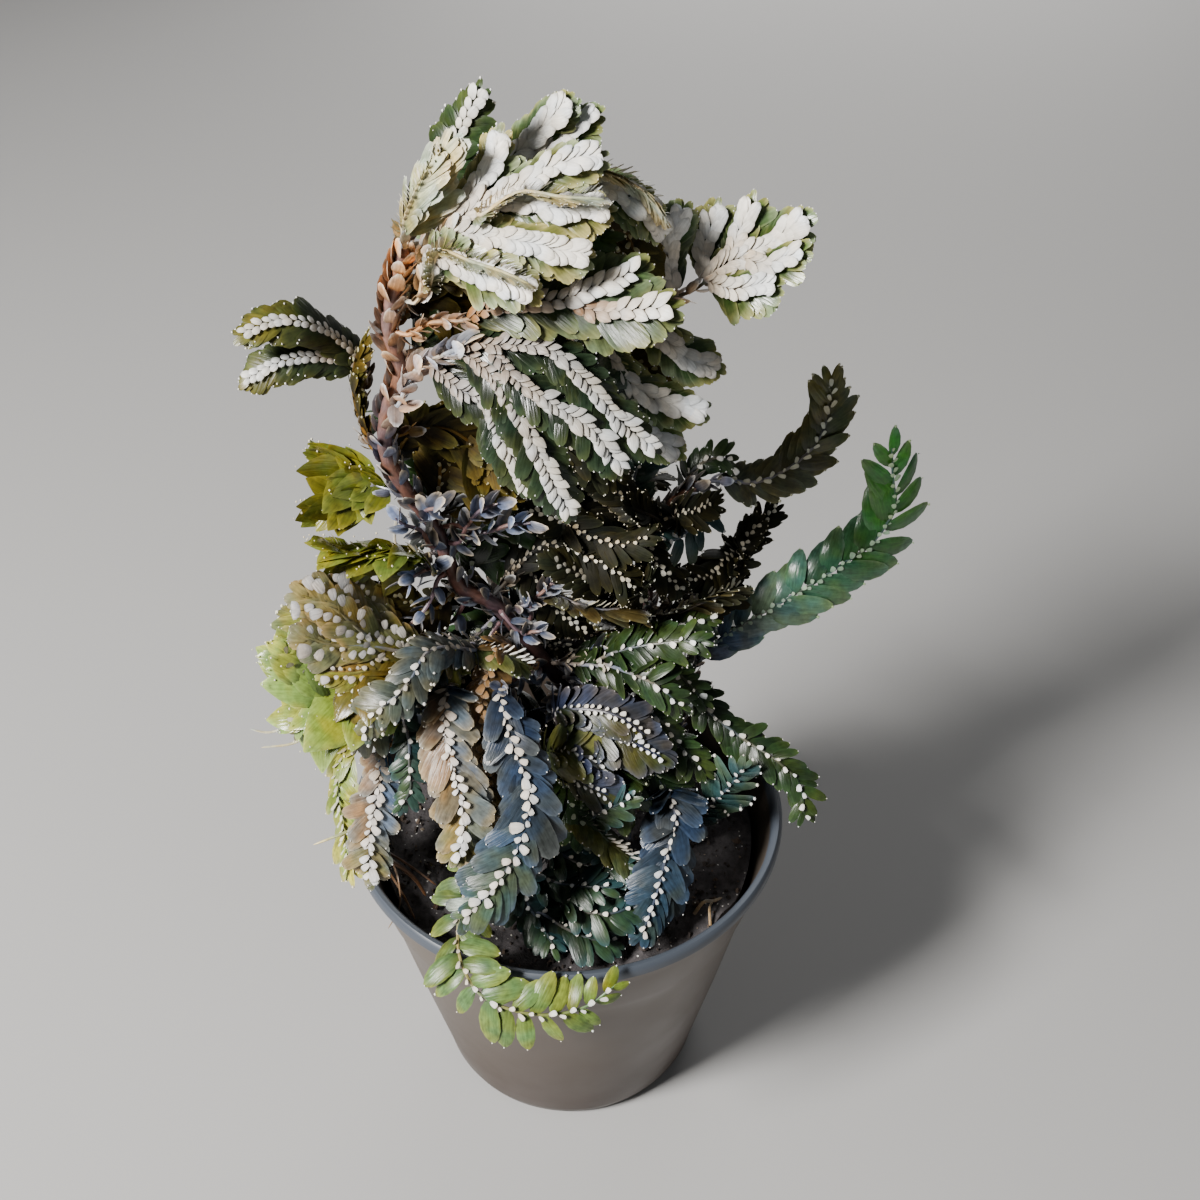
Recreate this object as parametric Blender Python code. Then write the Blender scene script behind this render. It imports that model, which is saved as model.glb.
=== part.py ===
"""Potted spikemoss: leafy stems and flat sprays growing from soil in a 9 cm nursery pot.

Lengths in the tables are millimetres; MM turns them into Blender's metres.
X runs to the right in the front view, Y away from the viewer, Z up. The origin is the middle of
the pot's base.
"""
import math

import bmesh
import bpy
import numpy as np

MM = 0.001

# The pot: a thin tapered cup with a flared collar and a rolled lip
POT_HEIGHT = 72.0
RIM_RADIUS = 45.0
COLLAR_RADIUS = 43.2
COLLAR_HEIGHT = 18.0
SHOULDER_RADIUS = 40.0
BASE_RADIUS = 29.5
BASE_FLAT_RADIUS = 25.0
WALL = 1.3
LIP_HEIGHT = 2.6
POT_SIDES = 30
DRAIN_RADIUS = 3.0
DRAIN_RING_RADIUS = 18.0
DRAIN_COUNT = 5

# The soil that fills the pot, with a plain hole for each stem that rises from it
SOIL_LEVEL = 63.0
SOIL_RELIEF = 0.7
SOIL_RINGS = 3
SOIL_SIDES = 20
HOLE_RADIUS = 2.6
HOLE_DEPTH = 6.5
ROOT_DEPTH = 6.0
SEAT_GAP = 0.35
SEAT_RUN = 1.5

# Stems and ribs
MAIN_STEM_RADII = (1.7, 1.15)
BACK_STEM_RADII = (1.5, 1.0)
STEM_SIDES = 6
STEM_LEAF_LENGTH = 5.6
STEM_LEAF_BREADTH = 3.2
STEM_LEAF_THICKNESS = 0.9
RIB_HALF_WIDTH = 0.75
RIB_HALF_HEIGHT = 0.6
BARE_STEP = 7.5
CURVE_STEPS = 14
FACE_PULL = 0.03
FORK_BARE = 3.0
ROOT_TAPER = 0.55

# The small white scale leaves that lie along the top of a rib
SCALE_GAP = 0.4
SCALES_START = 4.0
SCALE_HEIGHT = 0.7
SCALE_HALF_WIDTH = 1.7

# One leaflet's outline in its own frame: (share of the leaf step along the rib, share of its length)
LEAFLET = ((0.06, 0.68), (0.48, 1.0), (0.92, 0.74))
LOOSE_LEAFLET = ((0.20, 0.60), (0.50, 1.0), (0.82, 0.64))
SMALL_LEAFLET = ((0.15, 0.88), (0.78, 1.0))
SCALE_LEAFLET = ((0.55, 1.0),)
SMALL_LEAF = 4.9
LEAF_LEAN = 0.45
LEAF_DROOP = 0.16
BEND_SHARE = 0.45
ARCH_SHARE = 0.55
NEIGHBOUR_SHARE = 0.46

FRONT = (0.0, -0.62, 0.78)
HANGING = (0.0, -0.85, 0.5)
UNDERSIDE = (-0.25, 0.88, 0.2)
BACKWARD = (0.0, 0.6, 0.8)

COLOURS = {
    "pot": ("6E6560", 0.55), "soil": ("2B2526", 0.95), "stem": ("6E4440", 0.6),
    "white": ("ECEBE2", 0.6), "green": ("56754A", 0.5), "cream": ("CFC9A4", 0.6),
    "olive": ("84792F", 0.55), "blue": ("5E7696", 0.4), "teal": ("46715F", 0.4),
    "lime": ("8FAA4C", 0.5), "dark": ("3E4A38", 0.55), "grey": ("8C8780", 0.5),
}

MAIN_STEM = [(5, 8), (2, 8, 93), (-3, 8, 102), (-9, 7, 113), (-14, 6, 121), (-19, 5, 125),
             (-21, 4, 132), (-23, 4, 140), (-27, 3, 148), (-30, 2, 157), (-29, 1, 166),
             (-26, 0, 174), (-27, -1, 183), (-25, -2, 191), (-23, -3, 197)]
BACK_STEM = [(16, 16), (16, 16, 85), (16, 17, 101), (17, 17, 114), (18, 18, 126),
             (21, 19, 133), (27, 20, 138)]

# Each spray: where it grows from, its finish, leaf length and leaf step, the way its upper face
# looks, the bare start of its first rib, whether it has a row of scale leaves, and its ribs.
# The first rib is the axis. It starts in the soil at (x, y), or on a stem at a share of its length.
# Every other rib starts on the axis, at the share of the axis's length that it gives first.
SPRAYS = {
    "frond_left": dict(
        grows="main_stem", at=0.72, finish="green", leaf=4.0, step=3.5, bare=16, scales=True,
        ribs=[[(-34, 5, 160), (-34, 7, 165), (-33, 8, 170), (-37, 8, 176), (-41, 6, 180),
               (-46, 5, 181), (-51, 3, 180)],
              [0.45, (-38, 7, 173), (-45, 5, 174), (-52, 4, 171)]]),
    "frond_upright": dict(
        grows="main_stem", at=1.0, finish="cream", leaf=2.6, step=3.5, bare=3, face=(-0.85, -0.5, 0.1),
        ribs=[[(-23, -4, 200), (-21, -5, 206), (-18, -5, 211)],
              [0.15, (-20, -4, 203), (-18, -4, 208), (-16, -4, 213)]]),
    "frond_top": dict(
        grows="main_stem", at=0.985, finish="green", leaf=3.8, step=3.5, bare=7, scales=True,
        ribs=[[(-22, 1, 199), (-18, 4, 204), (-15, 6, 210), (-11, 7, 217)]]),
    "fan_behind": dict(
        grows="main_stem", at=0.955, finish="green", leaf=4.0, step=3.5, bare=17.3, scales=True,
        ribs=[[(-22, 3, 193), (-18, 7, 196), (-11, 12, 201), (-4, 14, 207), (2, 14, 213)],
              [0.48, (-1, 13, 206), (6, 15, 211)],
              [0.16, (-14, 4, 198), (-6, 5, 203), (2, 3, 205), (9, 1, 204), (13, 0, 202), (16, 0, 198)]]),
    "fan_upper": dict(
        grows="main_stem", at=0.945, finish="cream", leaf=3.9, step=3.5, bare=20, scales=True,
        ribs=[[(-19, -5, 198), (-15, -6, 202), (-11, -6, 205), (-5, -6, 208), (1, -6, 211), (6, -6, 212)],
              [0.40, (-12, -4, 206), (-9, -2, 210), (-8, -1, 213)],
              [0.55, (-5, -8, 206), (1, -10, 206), (7, -11, 206)],
              [0.38, (-10, -10, 202), (-4, -13, 202), (4, -15, 201)],
              [0.18, (-17, -9, 198), (-12, -13, 198), (-8, -16, 198), (-4, -18, 197)]]),
    "fan_right": dict(
        grows="main_stem", at=0.865, finish="green", leaf=4.0, step=3.5, bare=53, scales=True,
        ribs=[[(-19, 1, 178), (-9, 2, 179), (-3, 3, 179), (7, 3, 180), (14, 3, 182), (17, 2, 185),
               (22, 2, 187), (26, 1, 191), (30, 0, 194), (34, 0, 196), (38, -1, 200)],
              [0.66, (18, 5, 192), (20, 7, 198)],
              [0.74, (24, 5, 192), (26, 7, 198)],
              [0.81, (29, 3, 196), (31, 4, 200)],
              [0.84, (33, -4, 194), (37, -6, 197)],
              [0.74, (28, -4, 190), (33, -7, 192)],
              [0.57, (16, 0, 181), (20, -2, 178), (25, -4, 176)],
              [0.44, (8, -1, 177), (14, -5, 172), (23, -7, 170)],
              [0.40, (4, -3, 175), (10, -6, 168), (19, -9, 164)]]),
    "fan_centre": dict(
        grows="main_stem", at=0.90, finish="green", leaf=4.8, step=3.5, bare=17, scales=True,
        ribs=[[(-20, -6, 186), (-14, -9, 188), (-9, -11, 191), (-4, -12, 192), (1, -13, 193),
               (6, -13, 195), (12, -12, 197)],
              [0.74, (6, -15, 192), (11, -17, 193), (16, -18, 194)]]),
    "fan_front": dict(
        grows="main_stem", at=0.815, finish="green", leaf=3.9, step=3.8, bare=25, scales=True,
        ribs=[[(-23, -5, 177), (-18, -9, 182), (-14, -12, 185), (-8, -14, 186), (-2, -15, 186),
               (3, -18, 183), (8, -21, 178), (14, -23, 173)],
              [0.48, (-6, -18, 182), (0, -21, 179), (5, -23, 176), (9, -25, 171)],
              [0.26, (-16, -12, 178), (-11, -15, 176), (-9, -18, 172), (-5, -21, 165)],
              [0.40, (-9, -17, 181), (-5, -20, 175), (-2, -23, 169), (1, -25, 163)]]),
    "frond_olive": dict(
        grows="main_stem", at=0.745, finish="olive", leaf=4.5, step=4.0, bare=4, face=UNDERSIDE,
        ribs=[[(-25, 5, 160), (-20, 7, 159), (-15, 7, 155), (-12, 6, 149)]]),
    "spray_left_top": dict(
        grows="main_stem", at=0.66, finish="olive", leaf=4.2, step=3.8, bare=4, face=UNDERSIDE,
        ribs=[[(-31, 6, 147), (-38, 9, 149), (-44, 11, 152)],
              [0.35, (-38, 8, 143), (-45, 8, 141)]]),
    "spray_left_mid": dict(
        grows="main_stem", at=0.545, finish="olive", leaf=4.6, step=3.8, bare=4, face=(0.0, 0.3, 0.95),
        ribs=[[(-25, 2, 134), (-31, 1, 137), (-38, 0, 138), (-43, -1, 141)]]),
    "fan_left": dict(
        grows="main_stem", at=0.31, finish="olive", leaf=3.4, step=3.6, bare=34,
        ribs=[[(-11, 3, 111), (-18, 0, 116), (-25, -3, 119), (-30, -5, 120), (-37, -5, 126), (-46, -5, 133)],
              [0.62, (-36, -1, 127), (-41, 1, 133)],
              [0.56, (-37, -8, 122), (-46, -9, 127)],
              [0.48, (-31, -9, 119), (-38, -13, 120), (-43, -14, 121)]]),
    "spray_left_under": dict(
        grows="fan_left", at=0.42, finish="lime", leaf=5.0, step=4.0, bare=9, face=UNDERSIDE,
        ribs=[[(-28, 4, 109), (-38, 6, 109), (-45, 7, 114), (-52, 8, 117)],
              [0.55, (-43, 6, 103), (-52, 5, 99)]]),
    "spray_left_low": dict(
        grows="fan_left", at=0.45, finish="grey", leaf=4.6, step=3.65, bare=6,
        ribs=[[(-29, -7, 115), (-32, -10, 111), (-35, -13, 108), (-40, -14, 103)],
              [0.45, (-38, -6, 105), (-46, -4, 102), (-53, -3, 96)]]),
    "spray_left_edge": dict(
        grows="soil", finish="lime", leaf=3.8, step=3.8, bare=46, face=(-0.6, -0.45, 0.5),
        ribs=[[(-17, 8), (-26, 4, 84), (-37, 1, 93), (-43, -3, 92), (-45, -8, 87), (-44, -14, 80),
               (-43, -20, 75)]]),
    "spray_front_a": dict(
        grows="soil", finish="grey", leaf=4.3, step=3.6, bare=56, face=HANGING, scales=True, scales_from=52,
        ribs=[[(-14, 2), (-24, -4, 88), (-30, -7, 99), (-34, -12, 101), (-36, -17, 93),
               (-38, -21, 85), (-38, -25, 78)]]),
    "spray_front_b": dict(
        grows="soil", finish="grey", leaf=5.3, step=4.0, bare=58, face=HANGING, scales=True, scales_from=54,
        ribs=[[(-8, 0), (-18, -3, 88), (-21, -5, 105), (-22, -10, 113), (-22, -18, 109),
               (-20, -24, 102), (-19, -28, 96), (-20, -31, 91)]]),
    "spray_front_c": dict(
        grows="soil", finish="blue", leaf=6.6, step=4.3, bare=62, face=HANGING, scales=True, scales_from=56,
        ribs=[[(-1, -1), (-6, -4, 88), (-10, -6, 106), (-12, -12, 114), (-10, -20, 109),
               (-7, -25, 101), (-9, -31, 93), (-14, -36, 87), (-19, -39, 83)]]),
    "spray_trailing": dict(
        grows="fan_left", at=0.24, finish="lime", leaf=6.0, step=4.6, bare=38, face=(0.0, -0.88, 0.47), loose=True,
        ribs=[[(-16, -7, 108), (-16, -14, 98), (-16, -19, 92), (-18, -26, 85), (-20, -31, 79),
               (-21, -36, 76), (-20, -43, 74), (-17, -47, 71), (-12, -49, 69), (-5, -50, 68),
               (3, -49, 69), (8, -47, 72)]]),
    "spray_front_arch": dict(
        grows="soil", finish="grey", leaf=5.2, step=4.5, bare=30,
        ribs=[[(6, -1), (0, -2, 86), (0, -5, 96), (5, -9, 101), (11, -12, 101), (18, -15, 99)],
              [0.56, (-1, -10, 96), (2, -15, 94), (8, -18, 92)]]),
    "spray_front_d": dict(
        grows="soil", finish="blue", leaf=5.6, step=4.2, bare=24, face=HANGING, scales=True, scales_from=22,
        ribs=[[(19, 0), (19, -6, 79), (20, -13, 87), (21, -18, 85), (19, -23, 80), (17, -28, 75),
               (14, -33, 69)]]),
    "spray_front_e": dict(
        grows="soil", finish="teal", leaf=4.4, step=3.8, bare=16,
        ribs=[[(25, -6), (26, -9, 74), (29, -12, 83), (32, -14, 90), (34, -15, 96)]]),
    "spray_front_f": dict(
        grows="soil", finish="lime", leaf=4.2, step=3.8, bare=30, face=(0.3, 0.1, 0.95),
        ribs=[[(6, -9), (2, -10, 76), (0, -14, 84), (4, -18, 84), (8, -20, 81), (13, -22, 77)]]),
    "spray_creeping_a": dict(
        grows="soil", finish="teal", leaf=4.6, step=4.0, bare=13.3, face=(0.0, -0.3, 0.95),
        ribs=[[(-10, -17), (-8, -19, 69), (-2, -22, 68), (4, -21, 68), (11, -20, 67)]]),
    "spray_creeping_b": dict(
        grows="soil", finish="teal", leaf=4.4, step=4.0, bare=11.7, face=(0.0, -0.3, 0.95),
        ribs=[[(-9, -27), (-6, -28, 70), (-1, -31, 69), (4, -33, 68), (9, -33, 67)]]),
    "spray_green": dict(
        grows="main_stem", at=0.24, finish="teal", leaf=5.0, step=4.45, bare=14,
        ribs=[[(5, 3, 106), (12, -2, 115), (19, -4, 118), (26, -6, 120)],
              [0.42, (13, -6, 112), (17, -9, 112), (22, -11, 108)]]),
    "spray_over_rim": dict(
        grows="soil", finish="teal", leaf=5.4, step=4.4, bare=46,
        ribs=[[(20, 9), (17, 8, 90), (19, 5, 101), (24, 0, 102), (29, -4, 99), (35, -8, 96),
               (41, -12, 94), (45, -15, 91), (46, -19, 86)]]),
    "spray_green_low": dict(
        grows="soil", finish="teal", leaf=4.8, step=4.2, bare=34,
        ribs=[[(14, 3), (15, 1, 84), (18, -4, 95), (22, -9, 96), (27, -13, 92)]]),
    "branch_right": dict(
        grows="soil", finish="teal", leaf=7.2, step=5.3, bare=42, loose=True,
        ribs=[[(26, 12), (25, 13, 88), (29, 13, 101), (35, 13, 107), (44, 14, 113), (55, 16, 120),
               (62, 18, 125), (65, 19, 132), (64, 20, 139), (63, 20, 145)]]),
    "branch_right_dark": dict(
        grows="back_stem", at=1.0, finish="dark", leaf=5.6, step=4.2, bare=4,
        ribs=[[(32, 22, 137), (38, 24, 135), (45, 26, 137), (50, 27, 142), (52, 28, 148), (52, 29, 155)]]),
    "spray_right_back": dict(
        grows="back_stem", at=0.52, finish="dark", leaf=4.6, step=4.0, bare=8,
        ribs=[[(25, 24, 103), (32, 27, 109), (38, 29, 117), (44, 31, 124)],
              [0.5, (35, 22, 115), (34, 19, 122)]]),
    "spray_middle_a": dict(
        grows="back_stem", at=0.80, finish="teal", leaf=4.4, step=4.0, bare=6,
        ribs=[[(14, 21, 132), (15, 24, 139), (21, 26, 144)]]),
    "spray_middle_b": dict(
        grows="back_stem", at=0.72, finish="dark", leaf=5.4, step=4.4, bare=5,
        ribs=[[(11, 11, 130), (4, 9, 135), (-6, 9, 140)],
              [0.30, (8, 17, 132), (0, 19, 136)]]),
    "spray_middle_c": dict(
        grows="back_stem", at=0.84, finish="dark", leaf=5.0, step=4.7, bare=6,
        ribs=[[(21, 13, 135), (25, 9, 139), (28, 6, 143)],
              [0.30, (16, 8, 139), (12, 5, 143)]]),
    "spray_middle_d": dict(
        grows="back_stem", at=0.64, finish="dark", leaf=4.8, step=4.4, bare=6.3,
        ribs=[[(21, 14, 118), (26, 12, 121), (32, 12, 123)]]),
    "spray_middle_e": dict(
        grows="back_stem", at=0.60, finish="dark", leaf=5.4, step=4.4, bare=10,
        ribs=[[(11, 6, 119), (6, 2, 128), (-2, 1, 134)],
              [0.40, (14, 0, 127), (16, -4, 133)]]),
    "spray_middle_f": dict(
        grows="back_stem", at=0.44, finish="cream", leaf=3.6, step=3.8, bare=12, face=(0.0, 0.5, 0.85),
        ribs=[[(13, 13, 107), (7, 10, 112), (0, 7, 119)],
              [0.45, (20, 8, 114), (26, 5, 120), (33, 3, 125)]]),
    "spray_shade": dict(
        grows="soil", finish="dark", leaf=6.0, step=4.4, bare=19.3,
        ribs=[[(13, -3), (12, -3, 78), (11, -6, 87), (9, -11, 91), (10, -16, 89)]]),
    "back_upper": dict(
        grows="main_stem", at=0.92, finish="green", leaf=3.8, step=3.4, bare=12, face=BACKWARD,
        ribs=[[(-22, 6, 188), (-15, 14, 191), (-8, 22, 190), (-2, 30, 184)],
              [0.35, (-20, 17, 192), (-22, 25, 190)],
              [0.40, (-6, 14, 190), (3, 18, 187)]]),
    "back_left": dict(
        grows="main_stem", at=0.60, finish="green", leaf=4.6, step=4.0, bare=6, face=BACKWARD,
        ribs=[[(-26, 11, 149), (-29, 20, 153), (-33, 28, 150), (-36, 34, 142)],
              [0.35, (-21, 19, 152), (-17, 27, 150)]]),
    "back_low": dict(
        grows="main_stem", at=0.44, finish="dark", leaf=4.8, step=4.2, bare=6, face=BACKWARD,
        ribs=[[(-15, 14, 125), (-20, 22, 127), (-26, 30, 122), (-30, 37, 112)]]),
    "back_middle": dict(
        grows="back_stem", at=0.76, finish="dark", leaf=5.0, step=4.8, bare=9, face=BACKWARD,
        ribs=[[(13, 26, 126), (10, 34, 129), (7, 42, 124), (5, 47, 115)],
              [0.4, (17, 33, 130), (22, 40, 127)]]),
    "back_rim": dict(
        grows="soil", finish="teal", leaf=5.6, step=4.4, bare=30, face=BACKWARD,
        ribs=[[(2, 24), (0, 27, 84), (-5, 34, 96), (-13, 42, 97), (-19, 48, 89), (-22, 51, 79)]]),
    "back_right": dict(
        grows="soil", finish="teal", leaf=5.2, step=4.4, bare=22, face=BACKWARD,
        ribs=[[(22, 26), (25, 29, 78), (31, 35, 87), (38, 41, 86), (42, 45, 78)]]),
}


def material(name, finish):
    """One Principled surface in the finish's colour."""
    colour, roughness = COLOURS[finish]
    made = bpy.data.materials.new(name)
    made.use_nodes = True
    shader = made.node_tree.nodes["Principled BSDF"]
    linear = [(int(colour[k:k + 2], 16) / 255) ** 2.2 for k in (0, 2, 4)]
    shader.inputs["Base Color"].default_value = (*linear, 1.0)
    shader.inputs["Roughness"].default_value = roughness
    return made


def solid(name, points, faces, finish="green"):
    """A closed mesh from points in millimetres, with its faces turned outwards."""
    mesh = bpy.data.meshes.new(name)
    mesh.from_pydata((np.asarray(points, float) * MM).tolist(), [], faces)
    shell = bmesh.new()
    shell.from_mesh(mesh)
    bmesh.ops.recalc_face_normals(shell, faces=shell.faces)
    shell.to_mesh(mesh)
    shell.free()
    piece = bpy.data.objects.new(name, mesh)
    piece.data.materials.append(material(name, finish))
    bpy.context.scene.collection.objects.link(piece)
    return piece


def fuse(piece, others, operation="UNION", solver="EXACT"):
    """Joins the others to the piece, or cuts them from it, by one Boolean on their collection."""
    if not others:
        return piece
    group = bpy.data.collections.new(piece.name + "_group")
    for other in others:
        group.objects.link(other)
    joint = piece.modifiers.new("fuse", "BOOLEAN")
    joint.operation = operation
    joint.operand_type = "COLLECTION"
    joint.collection = group
    joint.solver = solver
    graph = bpy.context.evaluated_depsgraph_get()
    fused = bpy.data.meshes.new_from_object(piece.evaluated_get(graph))
    piece.modifiers.clear()
    piece.data = fused
    for other in others:
        bpy.data.objects.remove(other)
    bpy.data.collections.remove(group)
    return piece


def smooth_path(points):
    """A smooth curve through the points, read at CURVE_STEPS places in each stretch.

    The slope at a point is the mean of its two stretches' slopes, the shorter one counting more.
    """
    points = np.asarray(points, float)
    moves = np.diff(points, axis=0)
    reach = np.linalg.norm(moves, axis=1)[:, None]
    slopes = moves / reach
    inner = (slopes[:-1] * reach[1:] + slopes[1:] * reach[:-1]) / (reach[1:] + reach[:-1])
    slopes = np.vstack([slopes[:1], inner, slopes[-1:]])
    t = np.linspace(0, 1, CURVE_STEPS, endpoint=False)[:, None]
    stretches = []
    for start, move, length, leaving, coming in zip(points, moves, reach, slopes, slopes[1:]):
        bend = (t ** 3 - 2 * t ** 2 + t) * leaving + (t ** 3 - t ** 2) * coming
        stretches.append(start + (3 * t ** 2 - 2 * t ** 3) * move + bend * length)
    return np.vstack(stretches + [points[-1:]])


def unit(vectors):
    """Vectors scaled to length one."""
    return vectors / np.linalg.norm(vectors, axis=-1, keepdims=True)


class Course:
    """The curve that a stem or rib follows, with the way its upper face looks at each place.

    The upper direction is set at the tip, square to the curve and nearest to the wanted face, or at
    the root, as the rib that this one forks from has it. It is carried along without twisting, and
    leans a little towards the wanted face on the way.
    """

    def __init__(self, points, face=FRONT, root_upper=None):
        self.points = smooth_path(points)
        steps = np.linalg.norm(np.diff(self.points, axis=0), axis=1)
        self.lengths = np.concatenate([[0.0], np.cumsum(steps)])
        self.total = self.lengths[-1]
        self.along = unit(np.gradient(self.points, self.lengths, axis=0))
        face = np.asarray(face, float)
        order = -1 if root_upper is None else 1
        upper = face if root_upper is None else root_upper
        uppers = []
        for direction in self.along[::order]:
            upper = upper + FACE_PULL * face
            upper = unit(upper - (upper @ direction) * direction)
            uppers.append(upper)
        self.upper = np.array(uppers[::order])

    def read(self, values, distances):
        """Values known along the curve, read at the given distances."""
        return np.column_stack([np.interp(distances, self.lengths, values[:, k]) for k in range(3)])

    def frames(self, distances):
        """Place, direction, sideways and upper directions at the given distances."""
        place = self.read(self.points, distances)
        along = unit(self.read(self.along, distances))
        upper = self.read(self.upper, distances)
        upper = unit(upper - np.sum(upper * along, axis=1)[:, None] * along)
        return place, along, np.cross(along, upper), upper

    def bend_room(self, distances, side):
        """How far a leaf may reach at a bend: less on its inner side, and less on a sharp arch."""
        _, along, across, upper = self.frames(distances)
        turn = np.gradient(along, axis=0) / np.gradient(distances)[:, None]
        inner = np.maximum(np.sum(turn * across, axis=1) * side, 1e-3)
        arch = np.maximum(np.abs(np.sum(turn * upper, axis=1)), 1e-3)
        return np.minimum(BEND_SHARE / inner, ARCH_SHARE / arch)


def neighbour_room(places, across, side, others):
    """Half the way from each place to the nearest other rib on that side."""
    room = np.full(len(places), np.inf)
    for other in others:
        away = other.points[None] - places[:, None]
        distance = np.linalg.norm(away, axis=2)
        sideways = np.einsum("ijk,ik->ij", away, across * side)
        distance[sideways < 0.3 * distance] = np.inf
        room = np.minimum(room, NEIGHBOUR_SHARE * distance.min(axis=1) / math.hypot(1, LEAF_LEAN))
    return room


def leafy_rib(name, course, finish, leaf, step, bare, others=(), outline=LEAFLET, lift=0.0,
              half_width=RIB_HALF_WIDTH, heights=(-RIB_HALF_HEIGHT, RIB_HALF_HEIGHT), start=0.0):
    """A rib with leaflets down both sides, cut to the rib in one thin blade.

    The rib's section is a diamond: an upper and a lower point and a notch point at each side.
    Between two notches a leaflet bulges out to its outline points, which lean forward by
    LEAF_LEAN of their reach and sink by LEAF_DROOP of it. It reaches less on the inner side of a
    bend and beside another rib, so no two leaflets cross.
    """
    bare_count = max(1, round((bare - start) / BARE_STEP))
    leaf_count = max(2, round((course.total - bare) / step))
    stops = np.concatenate([np.linspace(start, bare, bare_count, endpoint=False),
                            np.linspace(bare, course.total, leaf_count + 1)])
    place, along, across, upper = course.frames(stops)
    low, high = heights
    middle = lift + 0.5 * (low + high)
    count = len(stops)
    thick = np.ones((count, 1))
    thick[0] = ROOT_TAPER
    wide = half_width * thick
    points = [place + upper * (middle + (high - middle + lift) * thick),
              place + upper * (middle + (low - middle + lift) * thick),
              place - across * wide + upper * middle, place + across * wide + upper * middle]
    upper_row, lower_row, left_row, right_row = np.arange(4 * count).reshape(4, count)
    faces = [(upper_row[0], left_row[0], lower_row[0], right_row[0])]
    used = 4 * count
    share = np.clip((stops[:-1] - bare) / (course.total - bare), 0, 1)
    reach = leaf * (0.62 + 0.38 * np.sin(math.pi * (0.16 + 0.7 * share)))
    for side, notches in ((-1, left_row), (1, right_row)):
        rows = [notches[:-1]]
        for forward, out in outline:
            spots = stops[:-1] + forward * np.diff(stops)
            spot, along_s, across_s, upper_s = course.frames(spots)
            room = np.minimum(course.bend_room(spots, side), neighbour_room(spot, across_s, side, others))
            far = np.maximum(np.minimum(reach, room) * out, half_width * 1.05)[:, None]
            points.append(spot + across_s * side * far + along_s * LEAF_LEAN * far
                          + upper_s * (middle - LEAF_DROOP * far))
            rows.append(np.arange(count - 1) + used)
            used += count - 1
        rows.append(notches[1:])
        turning = len(outline) + 1 if len(outline) == 1 else len(outline)
        for row in (upper_row, lower_row):
            for k in range(count - 1):
                here, there = row[k], row[k + 1]
                ring = [r[k] for r in rows]
                if stops[k] < bare - 1e-6:
                    ring = [ring[0], ring[-1]]
                turn = min(turning, len(ring) - 1)
                faces += [(here, a, b) for a, b in zip(ring[:turn], ring[1:turn + 1])]
                faces.append((here, ring[turn], there))
                faces += [(there, a, b) for a, b in zip(ring[turn:], ring[turn + 1:])]
    points.append(place[-1:] + along[-1:] * reach[-1] * 0.8 + upper[-1:] * lift)
    around = [upper_row[-1], left_row[-1], lower_row[-1], right_row[-1]]
    faces += [(a, b, used) for a, b in zip(around, around[1:] + around[:1])]
    points = np.vstack(points)
    kept = sorted({index for one in faces for index in one})
    renumber = {old: new for new, old in enumerate(kept)}
    faces = [tuple(renumber[index] for index in one) for one in faces]
    return solid(name, points[kept], faces, finish)


def tube(name, course, radii, sides, finish):
    """A round stem along its course, its radius running evenly from the first to the second."""
    stops = np.linspace(0, course.total, max(3, round(course.total / BARE_STEP)))
    place, _, across, upper = course.frames(stops)
    angles = np.linspace(0, 2 * math.pi, sides, endpoint=False)
    radius = np.linspace(radii[0], radii[1], len(stops))[:, None, None]
    ring = np.cos(angles)[None, :, None] * across[:, None] + np.sin(angles)[None, :, None] * upper[:, None]
    points = (place[:, None] + radius * ring).reshape(-1, 3)
    faces = [tuple(range(sides)), tuple(range(len(points) - sides, len(points)))]
    for k in range(len(stops) - 1):
        for j in range(sides):
            a, b = k * sides + j, k * sides + (j + 1) % sides
            faces.append((a, b, b + sides, a + sides))
    return solid(name, points, faces, finish)


def stem_leaf(name, root, outward, along, length):
    """A small pointed leaf: four outline points and an upper and a lower middle."""
    ahead = unit(outward + 0.7 * along)
    across = unit(np.cross(outward, along))
    upper = np.cross(across, ahead)
    middle = root + ahead * length * 0.5
    points = [root, middle + across * STEM_LEAF_BREADTH / 2, root + ahead * length,
              middle - across * STEM_LEAF_BREADTH / 2, middle + upper * STEM_LEAF_THICKNESS / 2,
              middle - upper * STEM_LEAF_THICKNESS / 2]
    faces = []
    for a, b in ((0, 1), (1, 2), (2, 3), (3, 0)):
        faces += [(a, b, 4), (b, a, 5)]
    return solid(name, points, faces)


def stem(name, course, radii, seats, first, step):
    """A stem with small leaves set round it by a fixed turn, none of them at a side branch's seat."""
    body = tube(name, course, radii, STEM_SIDES, "stem")
    spots = np.arange(first, course.total - 1.5, step)
    place, along, across, upper = course.frames(spots)
    leaves = []
    for k, spot in enumerate(spots):
        angle = math.radians(137.5) * k
        outward = math.cos(angle) * across[k] + math.sin(angle) * upper[k]
        clear = all(np.linalg.norm(place[k] + 2.5 * outward - seat) > 4.2 for seat in seats)
        if clear:
            length = STEM_LEAF_LENGTH * (0.85 + 0.15 * math.sin(2.3 * k))
            leaves.append(stem_leaf(f"{name}_leaf_{k}", place[k] + 0.4 * outward, outward, along[k], length))
    return fuse(body, leaves)


def seat_on(parent, parent_radius, at, towards):
    """The first two points of a side branch: just off its parent's side, and square out from there."""
    place, along, _, _ = parent.frames(np.array([at * parent.total]))
    out = np.asarray(towards, float) - place[0]
    reach = SEAT_GAP
    if at < 1.0:
        out = out - (out @ along[0]) * along[0]
        reach += parent_radius
    return [place[0] + unit(out) * reach, place[0] + unit(out) * (reach + SEAT_RUN)]


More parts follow.
